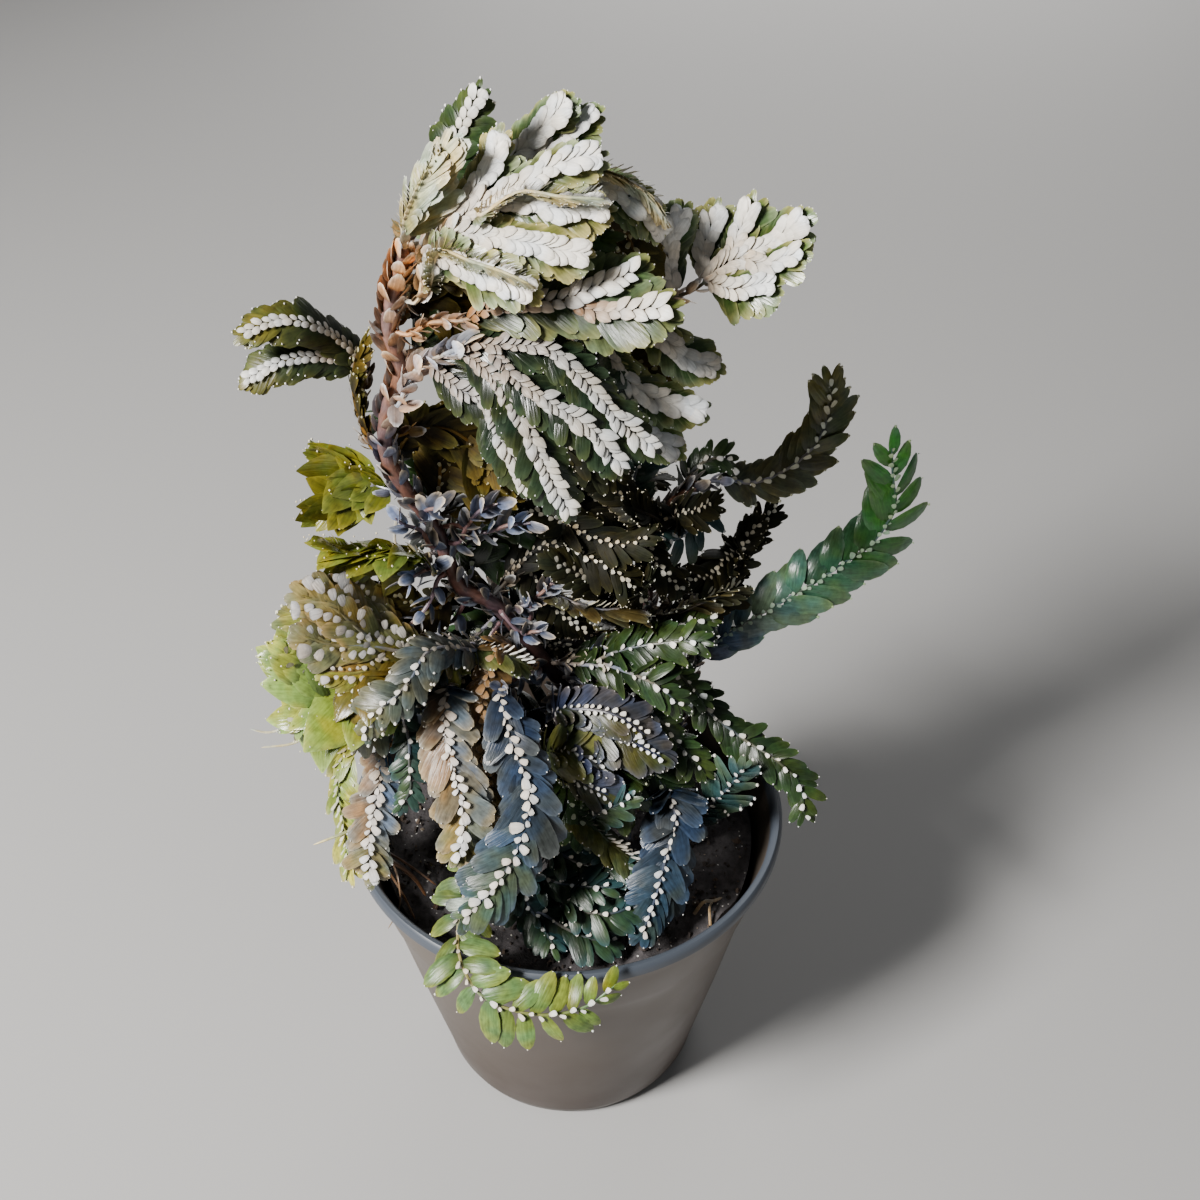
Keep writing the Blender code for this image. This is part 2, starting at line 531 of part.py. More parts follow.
def rise_from_soil(x, y):
    """The two points of a stem that stands in its soil hole."""
    return [(x, y, SOIL_LEVEL - ROOT_DEPTH), (x, y, SOIL_LEVEL + 3.0)]


def lathe(name, profile, sides, finish):
    """A closed profile of (radius, height) points turned about Z; points on the axis are poles."""
    angles = np.linspace(0, 2 * math.pi, sides, endpoint=False)
    points, rows = [], []
    for radius, height in profile:
        if radius == 0:
            rows.append([len(points)] * sides)
            points.append((0.0, 0.0, height))
        else:
            rows.append(list(range(len(points), len(points) + sides)))
            points += [(radius * math.cos(a), radius * math.sin(a), height) for a in angles]
    faces = []
    for row, following in zip(rows, rows[1:]):
        for j in range(sides):
            k = (j + 1) % sides
            ring = dict.fromkeys((row[j], row[k], following[k], following[j]))
            faces.append(tuple(ring))
    return solid(name, points, faces, finish)


def make_pot():
    """The pot's wall is one turned profile, from the middle of its underside round to its floor."""
    shoulder = POT_HEIGHT - COLLAR_HEIGHT
    lip = POT_HEIGHT - LIP_HEIGHT
    outer = [(BASE_FLAT_RADIUS, 0.0), (BASE_RADIUS - 1.2, 1.2), (BASE_RADIUS, 4.0),
             (SHOULDER_RADIUS - 0.6, shoulder - 1.0), (SHOULDER_RADIUS + 0.4, shoulder + 1.0),
             (COLLAR_RADIUS, lip - 0.3), (RIM_RADIUS, lip), (RIM_RADIUS, POT_HEIGHT - 0.7),
             (RIM_RADIUS - 0.6, POT_HEIGHT)]
    inner = [(COLLAR_RADIUS - 0.2, POT_HEIGHT), (SHOULDER_RADIUS - WALL, shoulder),
             (BASE_RADIUS - WALL, 4.0), (BASE_FLAT_RADIUS, WALL + 0.6)]
    pot = lathe("pot", [(0, 0.0)] + outer + inner + [(0, WALL + 0.6)], POT_SIDES, "pot")
    drains = []
    for k in range(DRAIN_COUNT):
        angle = 2 * math.pi * k / DRAIN_COUNT
        bpy.ops.mesh.primitive_cylinder_add(vertices=6, radius=DRAIN_RADIUS * MM, depth=10 * MM)
        drain = bpy.context.object
        drain.location = (DRAIN_RING_RADIUS * MM * math.cos(angle), DRAIN_RING_RADIUS * MM * math.sin(angle), 0)
        drains.append(drain)
    bpy.context.view_layer.update()
    fuse(pot, drains, "DIFFERENCE")
    pot.data.shade_smooth()
    pot.data.set_sharp_from_angle(angle=math.radians(35))


def make_soil(holes):
    """Soil up to a slightly lumpy top, inside the pot by SEAT_GAP, with a plain hole for each stem."""
    shoulder = POT_HEIGHT - COLLAR_HEIGHT
    inside = WALL + SEAT_GAP
    top_radius = SHOULDER_RADIUS - inside + 0.6
    rings = [(top_radius * (k + 1) / SOIL_RINGS, SOIL_LEVEL) for k in range(SOIL_RINGS)]
    below = [(SHOULDER_RADIUS - inside - 0.1, shoulder), (BASE_RADIUS - inside - 0.1, 4.2),
             (BASE_FLAT_RADIUS - 0.4, WALL + 0.6 + SEAT_GAP)]
    soil = lathe("soil", [(0, SOIL_LEVEL)] + rings + below + [(0, WALL + 0.6 + SEAT_GAP)], SOIL_SIDES, "soil")
    for vertex in soil.data.vertices:
        x, y, z = vertex.co / MM
        if z > SOIL_LEVEL - 1 and math.hypot(x, y) < top_radius - 1:
            lump = math.sin(0.31 * x + 1.1) * math.cos(0.27 * y) + 0.6 * math.sin(0.63 * y + 0.45 * x)
            vertex.co.z += SOIL_RELIEF * lump * MM
    cutters = []
    for x, y in holes:
        bpy.ops.mesh.primitive_cylinder_add(vertices=4, radius=HOLE_RADIUS * MM, depth=2 * HOLE_DEPTH * MM)
        cutter = bpy.context.object
        cutter.location = (x * MM, y * MM, SOIL_LEVEL * MM)
        cutters.append(cutter)
    bpy.context.view_layer.update()
    fuse(soil, cutters, "DIFFERENCE")


def spray_courses(stems):
    """The course of every rib of every spray, and the seats of the sprays on each stem."""
    courses, seats = {}, {}
    for name, spray in SPRAYS.items():
        face = spray.get("face", FRONT)
        axis = spray["ribs"][0]
        if spray["grows"] == "soil":
            start = rise_from_soil(*axis[0])
            axis = axis[1:]
        else:
            parent, radii = stems[spray["grows"]]
            radius = np.interp(spray["at"], [0, 1], radii)
            start = seat_on(parent, radius, spray["at"], axis[0])
            seats.setdefault(spray["grows"], []).append(start[0])
        ribs = [Course(start + axis, face)]
        stems[name] = (ribs[0], (RIB_HALF_WIDTH, RIB_HALF_WIDTH))
        for at, *points in spray["ribs"][1:]:
            fork, _, _, upper = ribs[0].frames(np.array([at * ribs[0].total]))
            ribs.append(Course([fork[0]] + points, face, upper[0]))
        courses[name] = ribs
    return courses, seats


def make_spray(name, spray, courses):
    """The spray's green ribs as one solid and, where it has them, its scale leaves as another."""
    leaves, scales = [], []
    for k, course in enumerate(courses):
        others = courses[:k] + courses[k + 1:]
        bare = spray["bare"] if k == 0 else FORK_BARE
        ending = "" if k == 0 else f"_{k}"
        outline = SMALL_LEAFLET if spray["leaf"] < SMALL_LEAF else LEAFLET
        if spray.get("loose"):
            outline = LOOSE_LEAFLET
        leaves.append(leafy_rib(name + ending, course, spray["finish"], spray["leaf"], spray["step"],
                                bare, others, outline))
        if spray.get("scales"):
            scales.append(leafy_rib(f"{name}_scales{ending}", course, "white", SCALE_HALF_WIDTH,
                                    spray["step"], bare, others, SCALE_LEAFLET,
                                    RIB_HALF_HEIGHT + SCALE_GAP, 0.6, (0.0, SCALE_HEIGHT),
                                    0.0 if k else max(SCALES_START, spray.get("scales_from", 0.0))))
    fuse(leaves[0], leaves[1:], solver="MANIFOLD")
    if scales:
        fuse(scales[0], scales[1:], solver="MANIFOLD")


def build():
    """Removes what the scene holds and makes the pot, the soil, both stems and every spray."""
    for old in list(bpy.data.objects):
        bpy.data.objects.remove(old)
    main = Course(rise_from_soil(*MAIN_STEM[0]) + MAIN_STEM[1:])
    back = Course(rise_from_soil(*BACK_STEM[0]) + BACK_STEM[1:])
    stems = {"main_stem": (main, MAIN_STEM_RADII), "back_stem": (back, BACK_STEM_RADII)}
    courses, seats = spray_courses(stems)
    stem("main_stem", main, MAIN_STEM_RADII, seats["main_stem"], 32.0, 3.4)
    stem("back_stem", back, BACK_STEM_RADII, seats["back_stem"], 20.0, 6.0)
    for name, spray in SPRAYS.items():
        make_spray(name, spray, courses[name])
    standing = [spray["ribs"][0][0] for spray in SPRAYS.values() if spray["grows"] == "soil"]
    make_soil([MAIN_STEM[0], BACK_STEM[0]] + standing)
    make_pot()


build()
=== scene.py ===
"""Looks of the potted spikemoss: its leaves, white scale leaves, stems, soil, litter and pot.

The tables are in millimetres; MM turns them into metres. X runs to the right in the front view, Y
away from the viewer, Z up. The origin is the middle of the pot's base.
"""
import math
from collections import namedtuple

import bpy
import numpy as np
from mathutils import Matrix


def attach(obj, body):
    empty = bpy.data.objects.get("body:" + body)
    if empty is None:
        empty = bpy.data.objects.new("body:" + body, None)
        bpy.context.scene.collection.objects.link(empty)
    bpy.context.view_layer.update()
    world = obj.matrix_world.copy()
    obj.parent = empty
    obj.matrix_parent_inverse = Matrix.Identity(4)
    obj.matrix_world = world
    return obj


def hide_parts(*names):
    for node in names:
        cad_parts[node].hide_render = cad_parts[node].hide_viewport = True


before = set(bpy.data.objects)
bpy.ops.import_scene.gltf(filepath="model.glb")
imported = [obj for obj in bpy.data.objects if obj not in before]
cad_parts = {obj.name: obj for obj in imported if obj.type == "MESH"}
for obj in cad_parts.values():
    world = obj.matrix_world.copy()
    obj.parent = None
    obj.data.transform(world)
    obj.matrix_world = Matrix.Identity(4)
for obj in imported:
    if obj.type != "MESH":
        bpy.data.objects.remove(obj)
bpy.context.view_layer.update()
random = np.random.default_rng(11)

MM = 0.001

# Steps in each stretch of a curve, and how far its upper face leans to the wanted face at a step.
CURVE_STEPS = 14
FACE_PULL = 0.03

# The soil's level, how deep a stem stands in it, and how high its first stretch rises from it.
SOIL_LEVEL = 63.0
ROOT_DEPTH = 6.0
ROOT_RISE = 3.0

# A side branch starts this far off its parent's side, and first runs this far square out from it.
SEAT_GAP = 0.35
SEAT_RUN = 1.5

# Radii of the ribs and of the stems, at root and top.
RIB_RADIUS = 0.42
RIB_TIP_RADIUS = 0.25
MAIN_STEM_RADII = (1.7, 1.15)
BACK_STEM_RADII = (1.5, 1.0)
SHOOT_RADII = (0.5, 0.3)

# How quickly a tube's knobs follow each other, how far its last ring closes, and how high the scale
# leaves stand over their rib.
KNOB_WAVES = 1.9
TUBE_END = 0.3
SCALE_GAP = 0.12

# Half sections of a leaf tip's bead and of a soil crumb, as shares of their radius, and the sides
# of both.
BEAD_PROFILE = [(0.5, -0.85), (1.0, 0.1), (0.4, 0.9)]
CRUMB_PROFILE = [(0.5, -0.85), (1.0, 0), (0.45, 0.85)]
LUMP_SIDES = 5

# Edges sharper than these angles stay crisp on the plant and on the pot.
SHARP_EDGE = math.radians(38)
SHARP_POT_EDGE = math.radians(40)

# The turn round a stem from one leaf to the next.
GOLDEN_ANGLE = math.radians(137.5)

# Painted shade: a leaf keeps these shares of its colour at its very root and on its underside.
# The root's painted shade ends at ROOT_SHADE_END of its length, and its edge colour covers at
# most EDGE_COVER of a place.
ROOT_PAINTED_SHADE = 0.6
ROOT_SHADE_END = 0.35
UNDERSIDE_PAINTED_SHADE = 0.75
EDGE_COVER = 0.85

# Edge colours of the leaves on stems and of the scale leaves. The scale leaves' grey margins and
# tips are painted shade where they overlap.
STEM_LEAF_EDGE = "DCD6D0"
SCALE_LEAF_SHADED_EDGE = "9A9892"

# The last side leaves of a rib lean this far forwards in degrees, and all droop by this slope.
TIP_LEAN = 78
LEAF_DROOP = 0.14

# How the leaf skins' patches change the tint's red, green and blue.
WARM_PATCH = (1.22, 1.04, 0.76)
COOL_PATCH = (0.88, 0.99, 1.12)

# The ways a spray's upper face looks.
FRONT = (0.0, -0.62, 0.78)
HANGING = (0.0, -0.85, 0.5)
UNDERSIDE = (-0.25, 0.88, 0.2)
BACKWARD = (0.0, 0.6, 0.8)
CREEPING = (0.0, -0.3, 0.95)

# The two stems: where each stands in the soil, and its points up to its top.
MAIN_STEM = [(5, 8), (2, 8, 93), (-3, 8, 102), (-9, 7, 113), (-14, 6, 121), (-19, 5, 125),
             (-21, 4, 132), (-23, 4, 140), (-27, 3, 148), (-30, 2, 157), (-29, 1, 166),
             (-26, 0, 174), (-27, -1, 183), (-25, -2, 191), (-23, -3, 197)]
BACK_STEM = [(16, 16), (16, 16, 85), (16, 17, 101), (17, 17, 114), (18, 18, 126),
             (21, 19, 133), (27, 20, 138)]

# Colours of the two stems' bark, and of the leaves on them and on the short shoots, root to top.
BARK = ("2A1E20", "423032", "5E4544", "826256")
SHOOT_BARK = ("6A4A48", "7A6A70")
MAIN_LEAVES = ("35343C", "454A56", "565C70", "737B94", "AE8A6E", "BC8E68", "CEA176")
BACK_LEAVES = ("302C2C", "403E42", "4C4A50")
SHOOT_LEAVES = ("3E4250", "566078", "7682A4")

# Short leafy shoots on the main stem: the share of its length where each starts, and its points.
SHOOTS = [
    [0.578, (-17, 1, 142), (-14, -1, 147), (-11, -2, 149)],
    [0.6, (-14, 2, 140), (-9, 0, 143), (-5, -1, 144)],
    [0.401, (-6, 5, 121), (-3, 3, 126), (-1, 2, 129)],
    [0.536, (-24, 1, 127), (-27, -1, 123), (-30, -2, 121)],
    [0.586, (-25, 0, 142), (-28, -2, 145), (-29, -3, 147)],
    [0.284, (3, 6, 103), (6, 5, 108), (8, 4, 110)],
    [0.42, (-16, 2, 112), (-19, 0, 111), (-22, -2, 110)],
    [0.44, (-8, 2, 116), (-6, 0, 118), (-4, -1, 119)],
    [0.63, (-24, 0, 146), (-23, -2, 148), (-21, -3, 149)],
    [0.41, (-18, 4, 110), (-22, 0, 111), (-24, -3, 111)],
    [0.483, (-21, 4, 118), (-25, 1, 119), (-28, -1, 117)],
    [0.326, (-13, 4, 100), (-16, 0, 101), (-19, -4, 101)],
    [0.551, (-23, 3, 132), (-26, 1, 132), (-29, -1, 131)],
    [0.269, (1, 6, 98), (-1, 2, 99), (-4, -1, 98)],
]

# A leaf's form: its breadths at stations from root to tip, how it rises from its root and falls to
# its tip, how far its middle domes, and its thickness, as shares of its length and breadth.
Form = namedtuple("Form", "stations breadths rise fall dome thick")
STATIONS = (0, 0.14, 0.38, 0.66, 0.88, 1)
SIDE_LEAF = Form(STATIONS, (0.55, 0.86, 1.0, 0.94, 0.68, 0.26), 0.16, 0.24, 0.02, 0.05)
LONG_LEAF = Form(STATIONS, (0.34, 0.74, 1.0, 0.94, 0.62, 0.2), 0.20, 0.28, 0.05, 0.06)
RIBBON_LEAF = Form(STATIONS, (0.62, 0.9, 1.0, 0.96, 0.8, 0.4), 0.08, 0.16, 0.0, 0.03)
FLAKE_LEAF = Form((0, 0.2, 0.5, 0.85, 1), (0.34, 0.74, 0.96, 1.0, 0.5), 0.16, 0.1, 0.0, 0.022)
SCALE_LEAF = Form((0, 0.2, 0.5, 0.82, 1), (0.5, 0.84, 1.0, 0.78, 0.16), 0.22, 0.18, 0.05, 0.026)
BRACT_LEAF = Form((0, 0.25, 0.5, 0.72, 0.88, 1), (0.5, 0.92, 1.0, 0.74, 0.4, 0.06), 0.2, 0.16, 0.1, 0.03)
HORN_LEAF = Form((0, 0.2, 0.45, 0.7, 0.88, 1), (0.7, 1.0, 0.96, 0.66, 0.32, 0.04), 0.1, 0.3, 0.02, 0.05)
STEM_LEAF = Form((0, 0.16, 0.42, 0.76, 1), (0.45, 0.88, 1.0, 0.78, 0.24), 0.24, 0.24, 0.03, 0.05)

# A leaf's thin section, seen from its root: sideways and upwards shares of its breadth and thickness.
LEAF_SECTION = np.array([(0, -0.8), (1, 0), (0.7, 0.8), (0, 0.1), (-0.7, 0.8), (-1, 0)])

# How each kind of spray looks. slot is its material slot, and skin the finish of its leaves. leaves
# and other_side are the colours of its two ranks of side leaves from root to tip of a rib, which are
# alike where other_side is None, and edge is the colour of their margins. scales has the colours of
# the scale leaves along the rib's top, and stalk those of the leaves on the bare foot, which are
# stalk_leaf long.
# The side leaves: form is their form, reach their reach over the solid's, broad their breadth over
# their length, pitch the distance to the next over the reach, lean how far they point forwards in
# degrees, ragged how many degrees that varies, margin the share of the length where the tip's edge
# colour starts, tilt how far they stand on edge in degrees, and bead the radius of their pale tips.
# The scale leaves: flake is their form, scale their length and breadth, every the distance to the
# next, apart how far the two ranks stand from the rib, swell how much larger the last ones are and
# how late they grow, stand how far they stand up, turn how many degrees they point outwards, and
# uneven how much they differ.
# PLAIN holds where a look says nothing else, and the four after it are each shared by a few looks.
PLAIN = dict(other_side=None, stalk=("46404C", "787684"), form=SIDE_LEAF, reach=1.0, broad=0.42,
             pitch=0.4, lean=48, ragged=6, margin=0.8, tilt=16, flake=FLAKE_LEAF, scale=(1.6, 1.25),
             every=1.4, apart=0.14, swell=(0.1, 1.5), stand=0.06, turn=25, uneven=0.18, bead=0.24,
             stalk_leaf=2.6, skin="satin")
FAN_LOOK = dict(form=RIBBON_LEAF, reach=0.9, broad=0.46, pitch=0.27, lean=48, margin=0.6, tilt=9,
                flake=SCALE_LEAF, scale=(2.8, 1.6), every=0.62, apart=0.24, turn=17, uneven=0.13,
                bead=0.13, stalk_leaf=2.8, skin="gloss")
CRUMPLED_LOOK = dict(form=HORN_LEAF, broad=0.8, pitch=0.22, lean=58, ragged=18, tilt=3, every=2.4,
                     uneven=0.3, bead=0.2, skin="gloss")
HANGING_LOOK = dict(form=RIBBON_LEAF, broad=0.5, pitch=0.26, lean=50, ragged=11, tilt=6, apart=0.1,
                    bead=0.14)
SHADED_LOOK = dict(slot="dark_leaves", stalk=("2A2622", "3C3834"), broad=0.38, pitch=0.34, ragged=9,
                   skin="matt")
LOOKS = {
    "fan": dict(
        FAN_LOOK, slot="green_leaves", leaves=("1A260E", "263C18", "3E5424"), edge="98A070",
        scales=("C6B8A6", "DAD8D2", "F8F7F4"), stalk=("8E7058", "A88A74", "B9A898"), pitch=0.25,
        lean=50, margin=0.62, scale=(2.8, 1.55), swell=(0.3, 1.3), bead=0.12),
    "white_fan": dict(
        FAN_LOOK, slot="cream_leaves", leaves=("26341A", "3A4A22", "565C30"), edge="B4B484",
        scales=("CCBEAC", "E0DED8", "FAF9F6"), stalk=("A08468", "C0A88E", "D2C4AE"), pitch=0.24,
        lean=50, swell=(0.35, 1.3), bead=0.1),
    "front_fan": dict(
        FAN_LOOK, slot="green_leaves", leaves=("0C140A", "121D10", "283420"), edge="3E4A32",
        scales=("8E7E72", "A09D97", "D4D3CE"), stalk=("BC9880", "C0A294", "B4AAAE", "CCC8C8"),
        flake=BRACT_LEAF, scale=(2.1, 1.2), apart=0.16, swell=(0.25, 1.6), stand=0.2, turn=27,
        uneven=0.16, stalk_leaf=3.9),
    "braided": dict(
        FAN_LOOK, slot="green_leaves", leaves=("161F0E", "223218", "364824"), edge="747C54",
        scales=("94683E", "BCA48C", "DEDBD5", "F2F1EC"), stalk=("8E6A4E", "A8805E", "BC9474"),
        reach=1.0, margin=0.55, flake=BRACT_LEAF, scale=(2.6, 1.6), every=0.95, apart=0.14,
        swell=(0.2, 1.4), turn=30, skin="satin"),
    "folded": dict(
        slot="cream_leaves", leaves=("7E7E56", "A2A27A", "BCBA9C"), edge="C0BBA5",
        scales=("CDBE9C", "ECE8D8", "F4F2E8"), stalk=("B49A78", "D0C0A0"), form=RIBBON_LEAF, broad=0.36,
        pitch=0.2, lean=66, tilt=6, scale=(1.6, 0.55), every=0.5, stand=0.8, bead=0.08),
    "top": dict(
        slot="green_leaves", leaves=("121C0A", "213312", "344322"), edge="40522E",
        scales=("A89078", "D0D0CC", "F0F0EC"), stalk=("A88C70", "B8A088"), broad=0.56, pitch=0.34,
        lean=40, flake=SCALE_LEAF, scale=(1.6, 1.15), every=0.8, apart=0.28, swell=(1.0, 9), turn=20,
        uneven=0.08, bead=0.22),
    "frond": dict(
        slot="green_leaves", leaves=("141B0C", "242D16", "5C5B22"), edge="454A24",
        scales=("A89078", "D0CEC8", "DEDDD8"), stalk=("4A3010", "6A4E1C"), form=RIBBON_LEAF, reach=0.86,
        broad=0.54, pitch=0.32, lean=50, tilt=8, flake=SCALE_LEAF, scale=(1.5, 1.1), every=0.68,
        apart=0.2, uneven=0.12, bead=0.18, stalk_leaf=2.2),
    "olive": dict(
        slot="olive_leaves", leaves=("1E1704", "2E2606", "43390C"), edge="5A5020",
        scales=("6E6440", "8C845C", "A8A078"), stalk=("5A3C1C", "6E5226"), pitch=0.24, lean=56,
        ragged=9, scale=(0.9, 0.6), every=1.2, bead=0.22, skin="matt"),
    "lobed": dict(
        CRUMPLED_LOOK, slot="olive_leaves", leaves=("434C12", "616723", "7B7E2A"), edge="858534",
        scales=("A89868", "C8BC94", "DDD4B8"), reach=0.8, lean=54, scale=(1.5, 0.7), every=0.9,
        stand=0.6, turn=12, uneven=0.32),
    "dotted": dict(
        slot="olive_leaves", leaves=("535717", "767620", "817832"),
        other_side=("4C3C1E", "665729", "76643F"), edge="999459", scales=("C0B08C", "DCCFB0", "F2E6DC"),
        stalk=("4A4654", "666A7C"), reach=0.92, broad=0.5, lean=54, scale=(0.95, 0.85), every=0.75,
        apart=0.75, swell=(3.4, 40), turn=35, uneven=0.32, bead=0.16),
    "tipped": dict(
        slot="olive_leaves", leaves=("47471C", "676336", "867F56"), edge="96886A",
        scales=("C8BCA4", "E6DED4", "F6F0EC"), stalk=("4A4654", "666A7C"), form=RIBBON_LEAF, broad=0.56,
        pitch=0.36, lean=58, scale=(1.45, 1.15), every=0.95, apart=0.75, swell=(1.6, 6), turn=34,
        uneven=0.3, bead=0.1, skin="gloss"),
    "lime": dict(
        slot="lime_leaves", leaves=("66721F", "7F8C2E", "949B46"), edge="A8A870",
        scales=("A89C70", "D2CFAE", "E6E3CC"), broad=0.5, pitch=0.38, lean=58, ragged=10,
        scale=(1.6, 0.7), every=0.95, stand=0.6, bead=0.3),
    "sheet": dict(
        CRUMPLED_LOOK, slot="lime_leaves", leaves=("63601B", "71822A", "84974B"), edge="A4B164",
        scales=("A89C70", "D2CFAE", "E6E3CC"), pitch=0.2, scale=(1.2, 0.6), stand=0.6),
    "amber": dict(
        CRUMPLED_LOOK, slot="olive_leaves", leaves=("3A3414", "55491C", "50521E"), edge="66622E",
        scales=("A89C70", "D2CFAE", "E6E3CC"), tilt=4, scale=(1.0, 0.6)),
    "golden": dict(
        slot="olive_leaves", leaves=("3E2E1A", "5A4626", "5E5424"), edge="8A6E44",
        scales=("A87E50", "BE9462", "C8A878"), stalk=("5E566A", "8A6C50"), broad=0.5, pitch=0.42,
        lean=50, ragged=12, scale=(1.5, 1.05), every=0.95, apart=0.1, turn=26, bead=0.14),
    "fringed": dict(
        slot="lime_leaves", leaves=("3A3F1E", "49512A", "61683E"), edge="70744E",
        scales=("D8CDBC", "E8E4DA", "F0EEE8"), broad=0.54, lean=50, scale=(1.9, 0.6), every=0.62,
        stand=0.9, bead=0.2),
    "leaden": dict(
        slot="grey_leaves", leaves=("353C44", "444843", "54583E"), edge="60655F",
        scales=("C0B4A8", "DAD4CA", "E8E4DA"), stalk=("5A5666", "7C7E8E"), broad=0.5, pitch=0.46,
        lean=44, ragged=8, scale=(1.22, 0.87), every=1.5, bead=0.3),
    "trailing": dict(
        slot="lime_leaves", leaves=("4A532D", "547241", "6B7822"), edge="808C44",
        scales=("A0886C", "DAD4C4", "EEECE2"), stalk=("8A6C50", "A8886A", "B49A7C"), form=LONG_LEAF,
        reach=1.16, broad=0.5, pitch=0.5, lean=26, ragged=9, scale=(1.32, 0.86), every=1.9, stand=0.3,
        bead=0.22, stalk_leaf=3.0),
    "tan": dict(
        HANGING_LOOK, slot="grey_leaves", leaves=("3F5670", "646A72", "6D682F"),
        other_side=("6C594A", "74604C", "6C6830"), edge="959184", scales=("C8B8A8", "E2DAD2", "F0ECE6"),
        stalk=("5E566A", "86785E", "A88E72"), reach=0.87, scale=(1.5, 1.0), every=0.86, turn=34,
        uneven=0.3, bead=0.16),
    "lilac": dict(
        HANGING_LOOK, slot="grey_leaves", leaves=("232740", "272C40", "303235"),
        other_side=("1D210D", "282C12", "393B16"), edge="4E4F5A", scales=("A89C94", "D6D2CC", "E8E6E2"),
        broad=0.46, pitch=0.29, ragged=6, scale=(0.85, 0.7), every=0.7, apart=0.5, bead=0.16),
    "blue": dict(
        HANGING_LOOK, slot="blue_leaves", leaves=("222A3A", "2E3946", "46583B"),
        other_side=("202836", "303E50", "4A5D3D"), edge="4C5663", scales=("C8BCAE", "E6E3DE", "F2F0EA"),
        stalk=("4E4C66", "66708C"), reach=0.8, broad=0.48, pitch=0.25, scale=(1.45, 1.1), every=1.15,
        turn=30, uneven=0.24),
    "slate": dict(
        HANGING_LOOK, slot="blue_leaves", leaves=("1F2835", "232F3E", "2C3F44"),
        other_side=("201F10", "212A38", "293C41"), edge="424E5E", scales=("B4ACA0", "DEDCD8", "F0EEEA"),
        reach=0.84, lean=52, scale=(1.14, 0.72), every=1.1, apart=0.14, uneven=0.22),
    "sea": dict(
        slot="teal_leaves", leaves=("1D312E", "253B38", "374C45"), edge="4F625B",
        scales=("B0A898", "DAD8D2", "ECEAE6"), broad=0.46, pitch=0.5, lean=42, ragged=9,
        scale=(0.99, 0.73), every=1.7, bead=0.34, skin="gloss"),
    "teal": dict(
        slot="teal_leaves", leaves=("14231E", "1C302D", "294343"),
        other_side=("121E10", "1C2B1B", "2E462D"), edge="3A5152", scales=("B0A898", "DAD8D2", "ECEAE6"),
        broad=0.46, pitch=0.44, lean=42, ragged=9, scale=(0.94, 0.79), every=2.4, bead=0.12),
    "green": dict(
        slot="teal_leaves", leaves=("15230B", "1C2E15", "2D3F1A"),
        other_side=("131C08", "182A12", "263616"), edge="3A4D2B", scales=("A8A090", "DCDAD2", "EDECE6"),
        stalk=("504C56", "8A8890"), reach=0.76, pitch=0.42, lean=46, ragged=10, scale=(1.15, 0.85),
        every=2.1, bead=0.16),
    # Its pale blue-grey root colour is partly the leaves' own blue tone and partly painted sheen.
    "glossy": dict(
        slot="teal_leaves", leaves=("5C647E", "40604F", "2F6229", "307023"), edge="708F6E",
        scales=("94A8A0", "98B898", "A8C090"), form=LONG_LEAF, reach=0.94, broad=0.46, pitch=0.6,
        tilt=20, scale=(1.0, 0.8), every=1.15, bead=0.3, skin="gloss"),
    "dusky": dict(
        slot="dark_leaves", leaves=("2F3120", "3F4024", "50542B"), edge="666945",
        scales=("8C8878", "B8B8A4", "C8C8B0"), reach=0.82, pitch=0.44, lean=52, scale=(1.3, 0.7),
        every=1.5, bead=0.3),
    # The next two looks: near-black leaves deep in the plant under the fans, darkened as painted shade.
    "shade": dict(
        SHADED_LOOK, leaves=("0B0A05", "121208", "1A1B0E"), edge="2E2E1A",
        scales=("7C7060", "B4AC98", "C8C4B4"), reach=0.66, lean=54, tilt=22, scale=(0.9, 0.7),
        every=0.95, bead=0.16),
    "shaded_brown": dict(
        SHADED_LOOK, leaves=("0A0904", "121108", "1C1C0D"), edge="2C2B18",
        scales=("84745C", "A89878", "B8AC90"), reach=0.62, broad=0.36, pitch=0.3, lean=58, tilt=24,
        scale=(0.8, 0.65), every=1.1, bead=0.13),
    "deep": dict(
        slot="dark_leaves", leaves=("111A0A", "1C2B13", "293E1E"), edge="3A4C2E",
        scales=("6A7058", "8C9478", "A8AE94"), broad=0.5, pitch=0.42, lean=50, ragged=10,
        scale=(1.0, 0.8), every=2.2, bead=0.26, skin="gloss"),
    "shade_cream": dict(
        slot="cream_leaves", leaves=("221E11", "332D1A", "464027"), edge="5F5B3E",
        scales=("A89878", "D2CCB0", "E0DCC4"), broad=0.5, lean=52, ragged=8, scale=(1.6, 0.6),
        every=0.7, stand=0.7, bead=0.22),
}

# A spray: the stem or spray that it grows on, or the soil, and at which share of that one's length,
# its look, the reach of its side leaves, the bare length of its foot, its ribs, and the way its
# upper face looks. The first rib is the axis. In the soil it starts with its own (x, y). The other
# ribs start on the axis, at the share of its length that they give first.
Spray = namedtuple("Spray", "grows at look leaf bare ribs face", defaults=(FRONT,))

